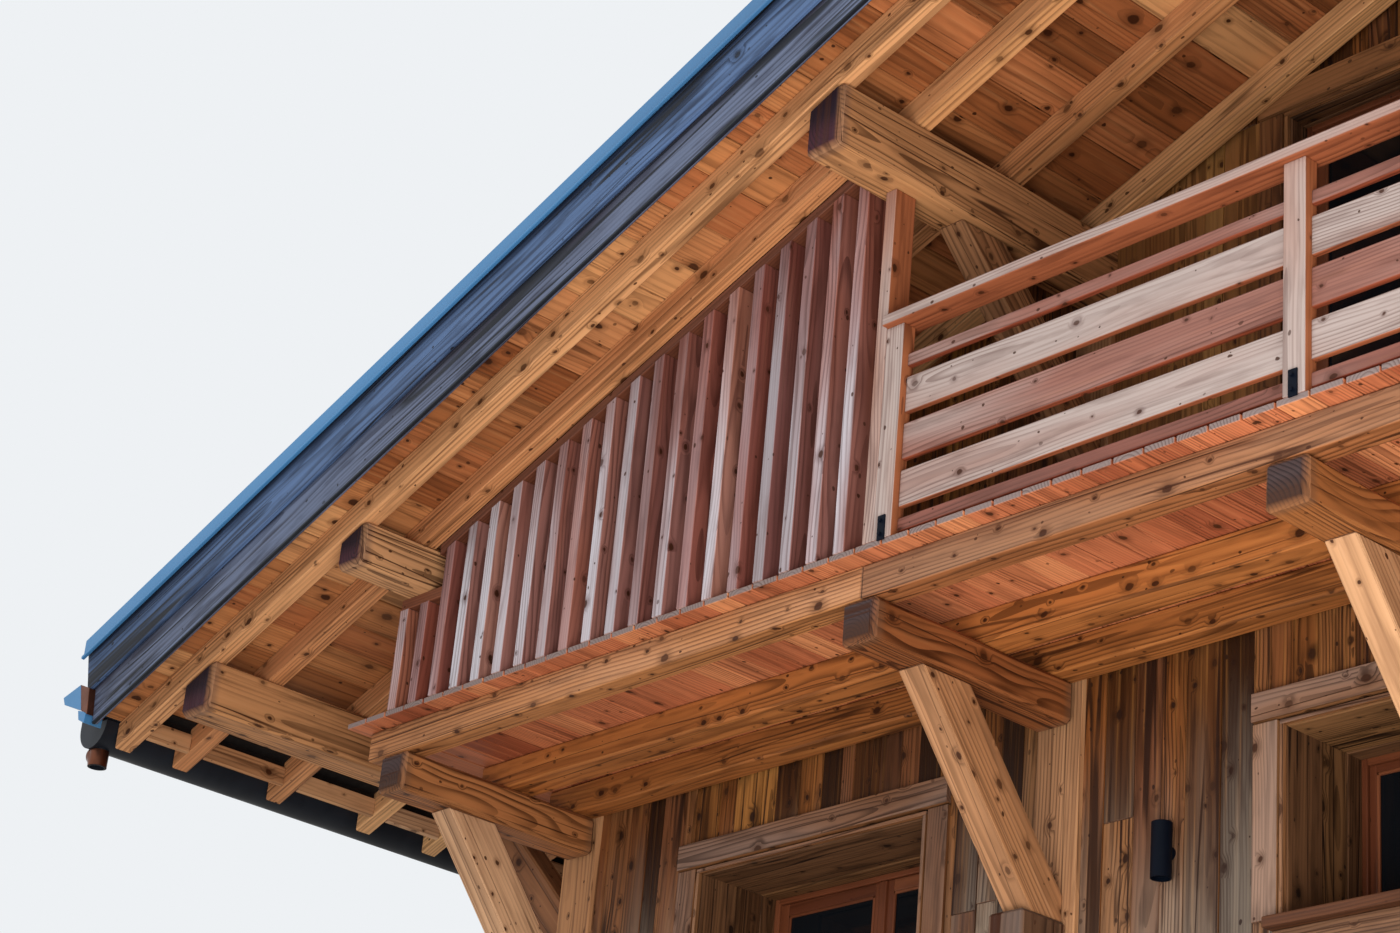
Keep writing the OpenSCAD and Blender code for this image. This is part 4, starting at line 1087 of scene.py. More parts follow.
@dataclass
class Rafters:
    """Rafters in lapped rows, and the closing boards between their tails."""

    width: float = 0.095
    lap_step: float = 0.105
    lap_run: float = 0.04
    lap_back: float = 0.16
    purlin_half: float = 0.105
    step: float = 0.61
    front_set: float = 0.35
    front_step: float = 0.595
    inner_set: float = 0.21
    inner_end: float = 0.2
    rear_set: float = 0.015
    rear_step: float = 0.545
    bevel: float = 0.006
    ridge_gap: float = 0.002
    closure_set: float = 0.13
    closure_t: float = 0.025
    closure_slot: float = 0.045

    def rows(self) -> list[float]:
        """Front faces of the lower rafters between the verges."""
        front = [HOUSE.verge_y + self.front_set + k * self.front_step for k in range(3)]
        start, end = HOUSE.front_y + self.inner_set, HOUSE.rear_y - self.inner_end
        count = math.floor((end - self.width - self.lap_step - start) / self.step)
        inner = [start + k * self.step for k in range(count + 1)]
        return front + inner + [HOUSE.rear_y + self.rear_set + k * self.rear_step for k in range(2)]

    def build(self) -> None:
        """Builds the rafters and the closures."""
        bars = Members("rafter_timbers", 11, self.bevel, grain=Grain((0, 0.05, 0.06)))
        whole = (self.ridge_gap, HOUSE.eave_reach)
        upper = (self.ridge_gap, HOUSE.upper_purlin_x + self.purlin_half + self.lap_run)
        lower = (HOUSE.upper_purlin_x - self.purlin_half + self.lap_back, HOUSE.eave_reach)
        rows = self.rows()
        verges = [(whole, y) for y in (HOUSE.verge_y, -HOUSE.verge_y - self.width)]
        lapped = [pair for y in rows for pair in ((lower, y), (upper, y + self.lap_step))]
        for side in (-1, 1):
            for span, y in verges + lapped:
                bars.add(HOUSE.slope_bar(side, *span, 0, HOUSE.rafter_h, y, y + self.width))
        Finishes.RAFTER.dress(bars.build(), "rafters")
        x = HOUSE.eave_reach - self.closure_set
        boards = ((x - self.closure_t, x, 0, HOUSE.rafter_h - self.closure_slot),)
        strips = ((x - 0.06, x - 0.002, 0.132, 0.139), (x - 0.006, x - 0.001, 0.094, 0.139))
        closures = Members("eave_closure_boards", 12, 0.003)
        Finishes.STRUT.dress(self.between(rows, closures, boards), "eave_closures")
        Finishes.VENT.dress(self.between(rows, Members("eave_vent_strips", 13, 0.002), strips))

    def between(self, rows: list[float], members: Members, bars: Sequence[tuple]) -> bpy.types.Object:
        """Fills the gaps between the rafter tails.

        Args:
            rows: Front faces of the rafters.
            members: The set of members that the pieces belong to.
            bars: Upper and lower end and lower and upper edge of each piece in a gap.

        Returns:
            The pieces as one object.
        """
        stops = [HOUSE.verge_y, *rows, -HOUSE.verge_y - self.width]
        for side in (-1, 1):
            for a, b in zip(stops, stops[1:]):
                for bar in bars:
                    members.add(HOUSE.slope_bar(side, *bar, a + self.width, b).transpose(1, 0, 2, 3))
        return members.build()


@dataclass
class Soffit:
    """Planks laid over the rafters, whose undersides show."""

    low: float = 0.14
    high: float = 0.17
    widths: tuple[float, float] = (0.195, 0.25)
    lengths: tuple[float, float] = (2.4, 4.6)
    shortest: float = 1.2
    joint: float = 0.006
    reach_y: float = 6.875

    def build(self) -> None:
        """Builds the planks of both slopes."""
        slopes = ((-1, "left_soffit_planks", ()), (1, "right_soffit_planks", ("soffits",)))
        for side, name, replaced in slopes:
            planks = Members(name, 21 + side, 0.004, grain=Grain((0, 0.03, 0.07)))
            self.lay(planks, side, np.random.default_rng(31 + side))
            Finishes.SOFFIT.dress(planks.build(), *replaced)

    def lay(self, planks: Members, side: int, rng: np.random.Generator) -> None:
        """Lays one slope from the ridge to the eave, the last plank cut square with the roof's edge."""
        x, edge = 0.002, HOUSE.edge_x(self.low)
        while x < edge - 0.03:
            wide = rng.uniform(*self.widths) * math.cos(HOUSE.pitch)
            last = x + wide > edge - 0.06
            y = -self.reach_y
            while y < self.reach_y - 0.01:
                to = y + rng.uniform(*self.lengths)
                to = self.reach_y if to > self.reach_y - self.shortest else to
                if last:
                    bar = HOUSE.slope_sheet(side, self.low, self.high, y, to - 0.001, x)
                else:
                    bar = HOUSE.slope_bar(side, x, x + wide - self.joint, self.low, self.high, y, to - 0.001)
                planks.add(bar.transpose(1, 0, 2, 3))
                y = to
            x += wide


@dataclass
class Purlins:
    """Ridge, upper, wall and eave purlins, hewn with a broad chamfer."""

    chamfer: float = 0.022
    waver: float = 0.0016
    blunt: float = 0.028

    def timber(self, name: str, node: str, seed: int, x: float, w: float, h: float, tone: float) -> None:
        """Builds one pair of purlins, or the ridge one, with tops cut to the slope."""
        grain = Grain((0, 0.02, 0.03), tone=(tone - 0.05, tone + 0.05))
        bars = Members(name, seed, self.chamfer, Blank.HEWN, self.waver, grain, self.blunt)
        low = HOUSE.seat(x) - h
        sides, ends = (x - w / 2, x + w / 2), (HOUSE.verge_y, -HOUSE.verge_y)
        for side in (1,) if x == 0 else (-1, 1):
            box = [[[(side * p, y, z) for z in (low, HOUSE.seat(p))] for p in sides] for y in ends]
            bars.add(np.array(box))
        Finishes.HEWN.dress(bars.build(), node)

    def build(self) -> None:
        """Builds all the purlins."""
        self.timber("ridge_timber", "ridge_purlin", 41, 0.0, 0.22, 0.3, 0.5)
        self.timber("upper_purlin_timbers", "upper_purlins", 42, HOUSE.upper_purlin_x, 0.21, 0.28, 0.6)
        self.timber("wall_purlin_timbers", "wall_purlins", 43, HOUSE.wall_purlin_x, 0.2, 0.19, 0.85)
        self.timber("eave_purlin_timbers", "eave_purlins", 44, HOUSE.eave_purlin_x, 0.24, 0.226, 0.4)


def upright(centre: np.ndarray) -> tuple[Vec, Vec]:
    """Directions along and up from a post, wherever it stands."""
    return (0, 0, 1), (0, 1, 0)


@dataclass
class Braces:
    """Knee braces under the purlins at the gables and along the eaves."""

    bevel: float = 0.01

    def lie(self, centre: np.ndarray) -> tuple[Vec, Vec]:
        """Directions along and up from a brace, from where it stands."""
        if abs(centre[0]) > HOUSE.side_x:
            side = math.copysign(1, centre[0])
            return (side, 0, 1), (-side, 0, 1)
        out = math.copysign(1, centre[1])
        return (0, out, 1), (0, -out, 1)

    def build(self) -> None:
        """Builds the braces."""
        braces = (("gable_braces", "purlin_braces", 51), ("eave_knee_braces", "eave_braces", 52))
        for name, node, seed in braces:
            Finishes.POST.dress(Carved(name, node, seed, self.lie, self.bevel).build(), node)


@dataclass
class Verges:
    """Barge boards in two layers, the folded sheet over them and the fascias at the eaves."""

    lower: tuple[float, float] = (0.06, 0.54)
    upper: tuple[float, float] = (0.27, 0.54)
    back: float = 6.875
    lower_t: float = 0.03
    upper_t: float = 0.025
    strip_h: float = 0.012
    lip: float = 0.012
    lip_z: tuple[float, float] = (0.48, 0.496)

    def corners(self, span: tuple[float, float], near: float, far: float) -> list[np.ndarray]:
        """Corners of a piece that follows the slope at each of the four verges.

        Args:
            span: Its lower and upper edge over the rafter seats.
            near: Distance of its back from the middle of the house.
            far: Distance of its front from there.

        Returns:
            The corners of the four pieces.
        """
        pairs = [(side, out) for side in (-1, 1) for out in (-1, 1)]
        spans = [(side, sorted((out * near, out * far))) for side, out in pairs]
        return [HOUSE.slope_sheet(side, *span, *ys).transpose(0, 2, 1, 3) for side, ys in spans]

    def build(self) -> None:
        """Builds the verges and the fascias."""
        middle, low, edge = self.back + self.lower_t, self.lower[0], HOUSE.roof_y
        barge = Grain((0, 0.06, 0.08), tone=(0.25, 0.8))
        lower = Members("lower_barge", 11, 0.007, Blank.ROUNDED, grain=barge)
        upper = Members("upper_barge", 11, 0.007, Blank.ROUNDED, grain=barge)
        strips, strip = Members("barge_drip_strips", 63, 0.003), (low - 0.004, low + self.strip_h)
        lips = Members("flashing_lips", 64, 0.003)
        for finish, members, span, near, far, replaced in (
            (Finishes.LOW_BARGE, lower, self.lower, self.back, middle, ("lower_barge_boards",)),
            (Finishes.BARGE, upper, self.upper, middle, middle + self.upper_t, ("upper_barge_boards",)),
            (Finishes.GUTTER, strips, strip, self.back + 0.014, middle + 0.003, ()),
            (Finishes.FLASHING, lips, self.lip_z, edge - 0.008, edge + self.lip, ()),
        ):
            for corners in self.corners(span, near, far):
                members.add(corners)
            finish.dress(members.build(), *replaced)
        self.ends()
        sheet = own_mesh("verge_sheets", "verge_flashings")
        fascia = own_mesh("eave_fascia_sheets", "eave_fascias")
        Finishes.FLASHING.dress(bevelled(sheet, 0.0015), "verge_flashings")
        Finishes.GUTTER.dress(bevelled(fascia, 0.003), "eave_fascias")

    def ends(self) -> None:
        """Folded pieces that close the verges at the eaves: a blue facet, and browned copper beside it."""
        blue = Members("verge_end_facets", 65, 0.002)
        brown = Members("verge_end_returns", 66, 0.002)
        facet = ((8.51, 6.066), (8.35, 6.103), (8.3, 5.95), (8.485, 6.021))
        turned = ((8.35, 6.103), (8.255, 6.064), (8.232, 5.915), (8.3, 5.95))
        drop = ((8.33, 5.955), (8.245, 5.93), (8.249, 5.871), (8.31, 5.9))
        for outline, members in ((facet, blue), (turned, brown), (drop, blue)):
            for side in (-1, 1):
                for out in (-1, 1):
                    ys = sorted((out * (HOUSE.roof_y - 0.006), out * (HOUSE.roof_y - 0.11)))
                    a, b, c, d = [[(side * x, y, z) for y in ys] for x, z in outline]
                    members.add(np.array([[a, b], [d, c]], float).transpose(1, 0, 2, 3))
        Finishes.FLASHING.dress(blue.build())
        Finishes.COPPER.dress(brown.build())


@dataclass
class Gutters:
    """Half-round gutters with stiffened rims, brackets, end caps and browned outlets."""

    radius: float = 0.13
    reach_y: float = 6.8
    strap_step: float = 0.61
    strap_start: float = 0.42
    strap_w: float = 0.03
    strap_t: float = 0.004
    outlet_y: float = -6.74
    outlet_radius: float = 0.05
    outlet_drop: float = 0.09
    outlet_bend: float = 0.085
    outlet_turn: float = math.radians(62)

    def centre(self) -> tuple[float, float]:
        """Distance from the ridge line and height of the half-round's middle."""
        edge = HOUSE.edge_x(0.14)
        return HOUSE.eave_reach + 0.0003 + self.radius, HOUSE.seat(edge) + 0.14 - 0.005

    def strap(self, side: int, y: float) -> bpy.types.Object:
        """A strap bent around the gutter, spun from a flat bar's end.

        Args:
            side: 1 right of the ridge, -1 left of it.
            y: Where it sits along the eave.

        Returns:
            The strap.
        """
        x, z = self.centre()
        at = (side * (x + self.radius + self.strap_t / 2), y, z)
        strap = started(bpy.ops.mesh.primitive_plane_add, "strap", size=1, location=at)
        turn = {"center": (side * x, y, z), "axis": (0, 1, 0), "angle": side * math.pi}
        with editing(strap):
            bpy.ops.transform.resize(value=(self.strap_t, self.strap_w, 1))
            bpy.ops.mesh.spin(steps=14, use_auto_merge=False, **turn)
            weld()
        place(strap)
        return strap

    def outlet(self, name: str, side: int) -> bpy.types.Object:
        """A browned copper outlet that turns out from under the gutter, cut off at its bend.

        Args:
            name: The outlet's name.
            side: 1 right of the ridge, -1 left of it.

        Returns:
            The outlet.
        """
        x, z = self.centre()
        half = self.outlet_drop / 2
        at = (side * x, self.outlet_y, z - self.radius - half)
        sizes = {"vertices": 28, "radius": self.outlet_radius, "depth": self.outlet_drop, "location": at}
        pipe = started(bpy.ops.mesh.primitive_cylinder_add, name, **sizes)
        place(pipe)
        bend = (side * (x + self.outlet_bend), self.outlet_y, at[2] - half)
        with editing(pipe, lambda face: face.normal.z < -0.9):
            bpy.ops.mesh.spin(steps=7, angle=-side * self.outlet_turn, center=bend, axis=(0, 1, 0))
            weld()
        return smoothed(bevelled(pipe, 0.003, 2, 1.0), 0.6)

    def build(self) -> None:
        """Builds the gutters and their fittings."""
        body = bevelled(own_mesh("gutter_bodies", "gutters"), 0.0012, angle=1.0)
        Finishes.GUTTER.dress(smoothed(body, 0.5), "gutters")
        count = int(2 * self.reach_y / self.strap_step)
        for side, name in ((-1, "left"), (1, "right")):
            start = -self.reach_y + self.strap_start
            straps = [self.strap(side, start + k * self.strap_step) for k in range(count)]
            Finishes.GUTTER.dress(joined(straps, f"{name}_gutter_straps"))
            Finishes.COPPER.dress(self.outlet(f"{name}_gutter_outlet", side))


# Walls


class Kind(Enum):
    """Kinds of opening: width, height, leaves, set-back of the frame, and whether it has a sill."""

    WIDE = (1.49, 1.25, 2, 0.48, True)
    SMALL = (0.69, 0.8, 1, 0.48, True)
    GABLE = (1.49, 1.25, 2, 0.11, True)
    BALCONY = (1.5, 2.24, 2, 0.11, False)
    ENTRANCE = (1.0, 2.1, 0, 0.48, False)


@dataclass(frozen=True)
class Opening:
    """A window or door in a wall: its middle along the face and the floor that its head is measured from."""

    wall: Wall
    kind: Kind
    u: float
    floor: float

    def span(self) -> tuple[float, float, float, float]:
        """Left, right, lower and upper edge of the clear opening."""
        w, h = self.kind.value[:2]
        low = self.floor + HOUSE.head_z - h if self.kind.value[4] else self.floor
        return self.u - w / 2, self.u + w / 2, low, low + h


def openings() -> list[Opening]:
    """Every window and door of the house."""
    x, y, small, door = HOUSE.window_x, HOUSE.side_window_y, HOUSE.small_window_x, HOUSE.door_x
    found = []
    for floor in (HOUSE.base_h, HOUSE.first_floor_z):
        found += [Opening(Wall.FRONT, Kind.WIDE, u, floor) for u in (-x, x)]
        found += [Opening(Wall.REAR, Kind.WIDE, u, floor) for u in (-x, 0.0, x)]
        found += [Opening(Wall.RIGHT, Kind.WIDE, HOUSE.mid_y + u, floor) for u in (-y, y)]
        found += [Opening(Wall.LEFT, Kind.WIDE, -HOUSE.mid_y + u, floor) for u in (-y, y)]
    found += [Opening(Wall.FRONT, Kind.SMALL, u, HOUSE.first_floor_z) for u in (-small, small)]
    found += [Opening(Wall.REAR, Kind.GABLE, u, HOUSE.deck_z) for u in (-door, door)]
    found += [Opening(Wall.FRONT, Kind.BALCONY, u, HOUSE.deck_z) for u in (-door, door)]
    return found + [Opening(Wall.FRONT, Kind.ENTRANCE, 0.0, HOUSE.base_h)]


@dataclass
class Cladding:
    """Upright boards of mixed widths and ages on one wall, now and then butted."""

    name: str
    wall: Wall
    seed: int
    ends: tuple[float, float]
    low: float
    high: Callable[[float], float]
    finish: Finishes = Finishes.BOARDS
    widths: tuple[float, float] = (0.075, 0.185)
    lengths: tuple[float, float] = (2.0, 5.5)
    proud: tuple[float, float] = (0.005, 0.012)
    margin: float = 0.08

    def stops(self, holes: list, rng: np.random.Generator) -> list[float]:
        """Edges of the boards, some of them at the middle and behind the casings of the openings."""
        sides = {u for left, right, *_ in holes for u in (left - self.margin, right + self.margin)}
        fixed = {u for u in sides | {0.0} if self.ends[0] < u < self.ends[1]}
        found = [self.ends[0]]
        for limit in sorted(fixed | {self.ends[1]}):
            while limit - found[-1] > self.widths[1]:
                found.append(min(found[-1] + rng.uniform(*self.widths), limit - self.widths[0]))
            found.append(limit)
        return found

    def runs(self, u: float, to: float, holes: list, rng: np.random.Generator) -> list[tuple[float, float]]:
        """Lengths of board in one column, between the openings and from butt to butt."""
        top = max(self.high(u), self.high(to))
        spans, start = [], self.low
        for left, right, low, high in sorted(holes, key=lambda h: h[2]):
            if to > left and u < right and high > self.low and low < top:
                if low - 0.03 > start:
                    spans.append((start, low - 0.001))
                start = high + 0.06
        runs = []
        for a, b in [*spans, (start, top)]:
            while b - a > 0.02:
                butt = a + rng.uniform(*self.lengths)
                butt = b if butt > b - 0.6 else butt
                runs.append((a, butt if butt == b else butt - 0.0015))
                a = butt
        return runs

    def build(self) -> None:
        """Boards the wall around its openings."""
        boards = Members(self.name, self.seed, 0.0022, grain=Grain((0, 0.04, 0.05), 0.0))
        rng = np.random.default_rng(self.seed)
        holes = [o.span() for o in openings() if o.wall is self.wall]
        stops = self.stops(holes, rng)
        for u, to in zip(stops, stops[1:]):
            for a, b in self.runs(u, to, holes, rng):
                out = rng.uniform(*self.proud)
                ends = (u, to - rng.uniform(0.0006, 0.0022))
                box = self.wall.value.corners(ends, (a, b), (-0.02, out), Lay.UPRIGHT)
                if b > self.high(u) - 0.001 or b > self.high(to) - 0.001:
                    box[1, 0, :, 2] = self.high(u)
                    box[1, 1, :, 2] = self.high(to)
                boards.add(box)
        self.finish.dress(boards.build())


@dataclass
class Walls:
    """The clad walls and gables, their posts and the stone base."""

    post_bevel: float = 0.007
    inner_x: float = 3.1
    crest_z: float = 8.03
    flat_z: float = 5.72
    under_roof: float = 0.138
    stone_out: float = 0.06
    stone_lengths: tuple[float, float] = (0.28, 0.7)
    stone_joint: float = 0.006
    stone_top: float = 0.296
    course_share: float = 0.55

    def gable(self, u: float) -> float:
        """Top of the boards under the sloping roof."""
        return HOUSE.seat(u) + self.under_roof

    def build(self) -> None:
        """Builds the cladding, posts and base."""
        x, inner, gable, base, deck = HOUSE.side_x, self.inner_x, self.gable, HOUSE.base_h, HOUSE.deck_z
        crest = (gable(0) - self.crest_z - 0.03) / math.tan(HOUSE.pitch)
        front, rear = HOUSE.front_y, HOUSE.rear_y

        def flat(u: float) -> float:
            """Top of the boards under the balcony."""
            return self.flat_z

        def eave(u: float) -> float:
            """Top of the side walls' boards."""
            return HOUSE.seat(x) - 0.004

        def sheltered(u: float) -> float:
            """Top of the boards behind the balcony."""
            return min(self.crest_z, gable(u)) - 0.002

        for cladding in (
            Cladding("front_wall_boards", Wall.FRONT, 101, (-x, x), base, flat),
            Cladding("rear_wall_boards", Wall.REAR, 102, (-x, x), base, gable),
            Cladding("left_gable_boards", Wall.FRONT, 103, (-x, -inner), deck, gable),
            Cladding("right_gable_boards", Wall.FRONT, 106, (inner, x), deck, gable),
            Cladding("top_gable_boards", Wall.FRONT, 107, (-crest, crest), self.crest_z, gable),
            Cladding("right_wall_boards", Wall.RIGHT, 104, (front, rear), base, eave),
            Cladding("left_wall_boards", Wall.LEFT, 105, (-rear, -front), base, eave),
            Cladding("dry_gable_boards", Wall.FRONT, 108, (-inner, inner), deck, sheltered, Finishes.GABLE),
        ):
            cladding.build()
        for node in ("front_wall", "rear_wall", "side_walls", "front_gable", "rear_gable", "knee_walls"):
            Finishes.BACKING.paint(node)
        posts = (("wall_post_timbers", "wall_posts", 111), ("gable_post_timbers", "gable_posts", 112))
        for name, node, seed in posts:
            Finishes.POST.dress(Carved(name, node, seed, upright, self.post_bevel).build(), node)
        Finishes.FLOOR.paint("floors")
        self.base()

    def base(self) -> None:
        """Faces the base with split stones, in one course or two."""
        Finishes.MORTAR.paint("stone_base")
        rng = np.random.default_rng(120)
        stones = Members("base_stones", 121, 0.014, Blank.ROUNDED)
        out, gap = self.stone_out, self.stone_joint
        x, front, rear = HOUSE.side_x + out, HOUSE.front_y - out, HOUSE.rear_y + out
        starts = ((-x, front), (x, front), (x, rear), (-x, rear))
        for wall, corner in zip((Wall.FRONT, Wall.RIGHT, Wall.REAR, Wall.LEFT), starts):
            face = Face(wall.value.along, wall.value.out, (*corner, 0))
            length, u = abs(np.dot(face.along, (2 * x, rear - front, 0))), 0.0
            while u < length - 0.01:
                to = u + rng.uniform(*self.stone_lengths)
                to = length if to > length - 0.25 else to
                split = rng.uniform(0.1, 0.2)
                rows = ((0.004, self.stone_top),)
                if rng.random() < self.course_share:
                    rows = ((0.004, split - gap), (split + gap, self.stone_top))
                for row in rows:
                    stones.on(face, (u + gap, to - gap), row, (-0.03, rng.uniform(0.008, 0.022)), Lay.LEVEL)
                u = to
        Finishes.STONE.dress(stones.build())


# Windows and doors


@dataclass
class Joinery:
    """Casings, sills, linings, frames, sashes and glass of every opening."""

    casing_w: float = 0.13
    casing_t: float = 0.025
    head_h: float = 0.13
    head_t: float = 0.038
    lining_t: float = 0.025
    lining_steps: tuple[float, ...] = (0.0, 0.007, 0.002)
    lining_joints: tuple[float, ...] = (0.46, 0.8)
    lining_gap: float = 0.002
    lining_proud: float = 0.007
    edge_set: float = 0.006
    sill_h: float = 0.048
    sill_out: float = 0.075
    sill_over: float = 0.065
    apron_h: float = 0.14
    apron_set: float = 0.015
    bar_w: float = 0.036
    frame_w: float = 0.055
    sash_w: float = 0.06
    sash_gap: float = 0.0015
    sash_set: float = 0.012
    frame_d: float = 0.07
    glass_t: float = 0.024
    rebate: float = 0.006
    bead_w: float = 0.014
    bead_d: float = 0.012
    bead_bevel: float = 0.003

    def build(self) -> None:
        """Builds all the openings' joinery."""
        kinds = {
            "casings": ("window_casing_boards", 201, 0.004, Blank.ROUNDED, Finishes.CASING, "window_casings"),
            "sills": ("window_sill_boards", 202, 0.008, Blank.ROUNDED, Finishes.SILL, "window_sills"),
            "linings": ("window_lining_boards", 203, 0.003, Blank.BOARD, Finishes.LINING, "window_linings"),
            "edges": ("reveal_edge_strips", 208, 0.003, Blank.ROUNDED, Finishes.CASING),
            "frames": ("window_frame_timbers", 204, 0.005, Blank.ROUNDED, Finishes.FRAME, "window_frames"),
            "panes": ("window_panes", 205, 0.002, Blank.BOARD, Finishes.GLASS, "window_glass"),
            "doors": ("balcony_door_timbers", 206, 0.005, Blank.ROUNDED, Finishes.FRAME, "balcony_doors"),
            "lights": ("balcony_door_panes", 207, 0.002, Blank.BOARD, Finishes.GLASS, "balcony_door_glass"),
        }
        self.sets = {key: Members(*values[:4]) for key, values in kinds.items()}
        for opening in openings():
            self.trim(opening)
            if opening.kind is Kind.BALCONY:
                self.leaves(opening, self.sets["doors"], self.sets["lights"])
            elif opening.kind is not Kind.ENTRANCE:
                self.leaves(opening, self.sets["frames"], self.sets["panes"])
        for key, values in kinds.items():
            values[4].dress(self.sets[key].build(), *values[5:])

    def trim(self, opening: Opening) -> None:
        """Casings, head, sill, apron and lining of one opening, with the lining's pale front edge."""
        face, (a, b, low, top) = opening.wall.value, opening.span()
        casings, sills, linings, edges = (self.sets[key] for key in ("casings", "sills", "linings", "edges"))
        deep, silled = opening.kind.value[3:]
        t, out, gap, reach = self.lining_t, self.casing_t, self.edge_set, self.lining_t + self.casing_w
        first, second = (deep * share for share in self.lining_joints)
        split = self.lining_gap
        depths = ((split - first, 0.0), (-second, -first - split), (-deep, -second - split))
        planks = list(zip(depths, self.lining_steps))
        for edge, sign in ((a, -1), (b, 1)):
            casing = sorted((edge + sign * reach, edge + sign * (t + gap)))
            casings.on(face, casing, (low, top + t), (0, out), Lay.UPRIGHT)
            strip = sorted((edge, edge + sign * (t - gap)))
            edges.on(face, strip, (low, top), (0.001, out), Lay.UPRIGHT)
            for depth, step in planks:
                board = sorted((edge + sign * (step - self.lining_proud), edge + sign * t))
                linings.on(face, board, (low, top), depth, Lay.UPRIGHT_ON_EDGE)
        head = (top + t + gap, top + t + self.head_h)
        casings.on(face, (a - reach, b + reach), head, (0, self.head_t), Lay.LEVEL)
        edges.on(face, (a - t + gap, b + t - gap), (top, top + t - gap), (0.001, out), Lay.LEVEL)
        for depth, step in planks:
            board = (top + step - self.lining_proud, top + t)
            linings.on(face, (a - t, b + t), board, depth, Lay.LEVEL_ON_EDGE)
        if silled:
            over, foot = self.sill_over, low - self.sill_h
            sills.on(face, (a - over, b + over), (foot, low), (0, self.sill_out), Lay.LEVEL)
            inner = over - self.apron_set
            apron = (foot - 0.001 - self.apron_h, foot - 0.001)
            casings.on(face, (a - inner, b + inner), apron, (0, out), Lay.LEVEL)
            linings.on(face, (a - t, b + t), (low - t, low + 0.001), (-deep, 0.001), Lay.LEVEL_ON_EDGE)

    def ring(
        self, bars: Members, face: Face, u: Sequence[float], v: Sequence[float], o: Sequence[float],
        lap: Optional[float] = None, bevel: Optional[float] = None,
    ) -> None:
        """Adds two upright and two level bars around a rectangle.

        Args:
            bars: The set of members that they belong to.
            face: The wall face.
            u: The upright bars' sides, from left to right.
            v: The level bars' feet and tops, from the lowest up.
            o: How far all their backs and fronts stand out from the face.
            lap: How far the level bars run into the upright ones, or None for right across.
            bevel: Their bevel, or None for the set's.
        """
        for ends in (u[:2], u[2:]):
            bars.on(face, ends, (v[0], v[3]), o, Lay.UPRIGHT, bevel)
        across = (u[0], u[3]) if lap is None else (u[1] - lap, u[2] + lap)
        for ends in (v[:2], v[2:]):
            bars.on(face, across, ends, o, Lay.LEVEL, bevel)

    def leaves(self, opening: Opening, frames: Members, panes: Members) -> None:
        """Fixed frame, sashes, beads, panes and meeting strip of one opening."""
        face, (a, b, low, top) = opening.wall.value, opening.span()
        count, deep, silled = opening.kind.value[2:]
        t, f = self.lining_t, self.frame_w - self.lining_t
        low = low if silled else low + t
        s = self.bar_w if opening.kind is Kind.SMALL else self.sash_w
        back, front = -deep - self.frame_d, -deep
        sunk, gap, middle = front - self.sash_set, self.sash_gap, (front + back) / 2
        r, w = self.rebate, self.bead_w
        pane = (middle - self.glass_t / 2, middle + self.glass_t / 2)
        bead = (pane[1], pane[1] + self.bead_d)
        u, v = (a - t, a + f, b - f, b + t), (low - t, low + f, top - f, top + t)
        self.ring(frames, face, u, v, (back, front), 0.001)
        leaf = (b - a - 2 * f) / count
        v0, v1 = low + f + gap, top - f - gap
        for k in range(count):
            u0, u1 = a + f + k * leaf + gap, a + f + (k + 1) * leaf - gap
            u, v = (u0, u0 + s, u1 - s, u1), (v0, v0 + s, v1 - s, v1)
            self.ring(frames, face, u, v, (back, sunk), 0.001)
            panes.on(face, (u[1] - r, u[2] + r), (v[1] - r, v[2] + r), pane, Lay.UPRIGHT)
            u, v = (u[1], u[1] + w, u[2] - w, u[2]), (v[1], v[1] + w, v[2] - w, v[2])
            self.ring(frames, face, u, v, bead, None, self.bead_bevel)
        if count == 2:
            u, v = (a + b) / 2, (low + f + 0.004, top - f - 0.004)
            frames.on(face, (u - 0.024, u + 0.024), v, (sunk - 0.01, sunk + 0.014), Lay.UPRIGHT)


@dataclass
class Entrance:
    """Plank door with ledges and a plain lever handle."""

    half: float = 0.525
    height: float = 2.125
    count: int = 7
    joint: float = 0.001
    back: float = -0.54
    front: float = -0.48
    ledges: tuple[float, float, float] = (0.22, 1.0, 0.3)
    ledge_h: float = 0.13
    ledge_set: float = 0.03
    ledge_front: float = -0.462
    plate: Box = ((0.4, 0.44), (0.93, 1.15), (-0.48, -0.472))
    neck: Box = ((0.41, 0.43), (1.05, 1.07), (-0.474, -0.42))
    lever: Box = ((0.29, 0.43), (1.05, 1.07), (-0.432, -0.414))

    def build(self) -> None:
        """Builds the door and its handle."""
        face, half, low, top = Wall.FRONT.value, self.half, HOUSE.base_h, HOUSE.base_h + self.height
        planks = Members("entrance_planks", 211, 0.006, Blank.ROUNDED)
        step = 2 * half / self.count
        for k in range(self.count):
            plank = (-half + k * step + self.joint, -half + (k + 1) * step - self.joint)
            planks.on(face, plank, (low, top), (self.back, self.front), Lay.UPRIGHT)
        across, foot, middle, head = half - self.ledge_set, *self.ledges
        for v in (low + foot, low + middle, top - head):
            depth = (self.front, self.ledge_front)
            planks.on(face, (-across, across), (v, v + self.ledge_h), depth, Lay.LEVEL)
        Finishes.FRAME.dress(planks.build(), "entrance_door")
        handle = Members("entrance_handle", 212, 0.004, Blank.ROUNDED)
        for (u, v, o), lay in ((self.plate, Lay.UPRIGHT), (self.neck, Lay.LEVEL), (self.lever, Lay.LEVEL)):
            handle.on(face, u, (low + v[0], low + v[1]), o, lay)
        Finishes.STEEL.dress(handle.build())


# Balcony


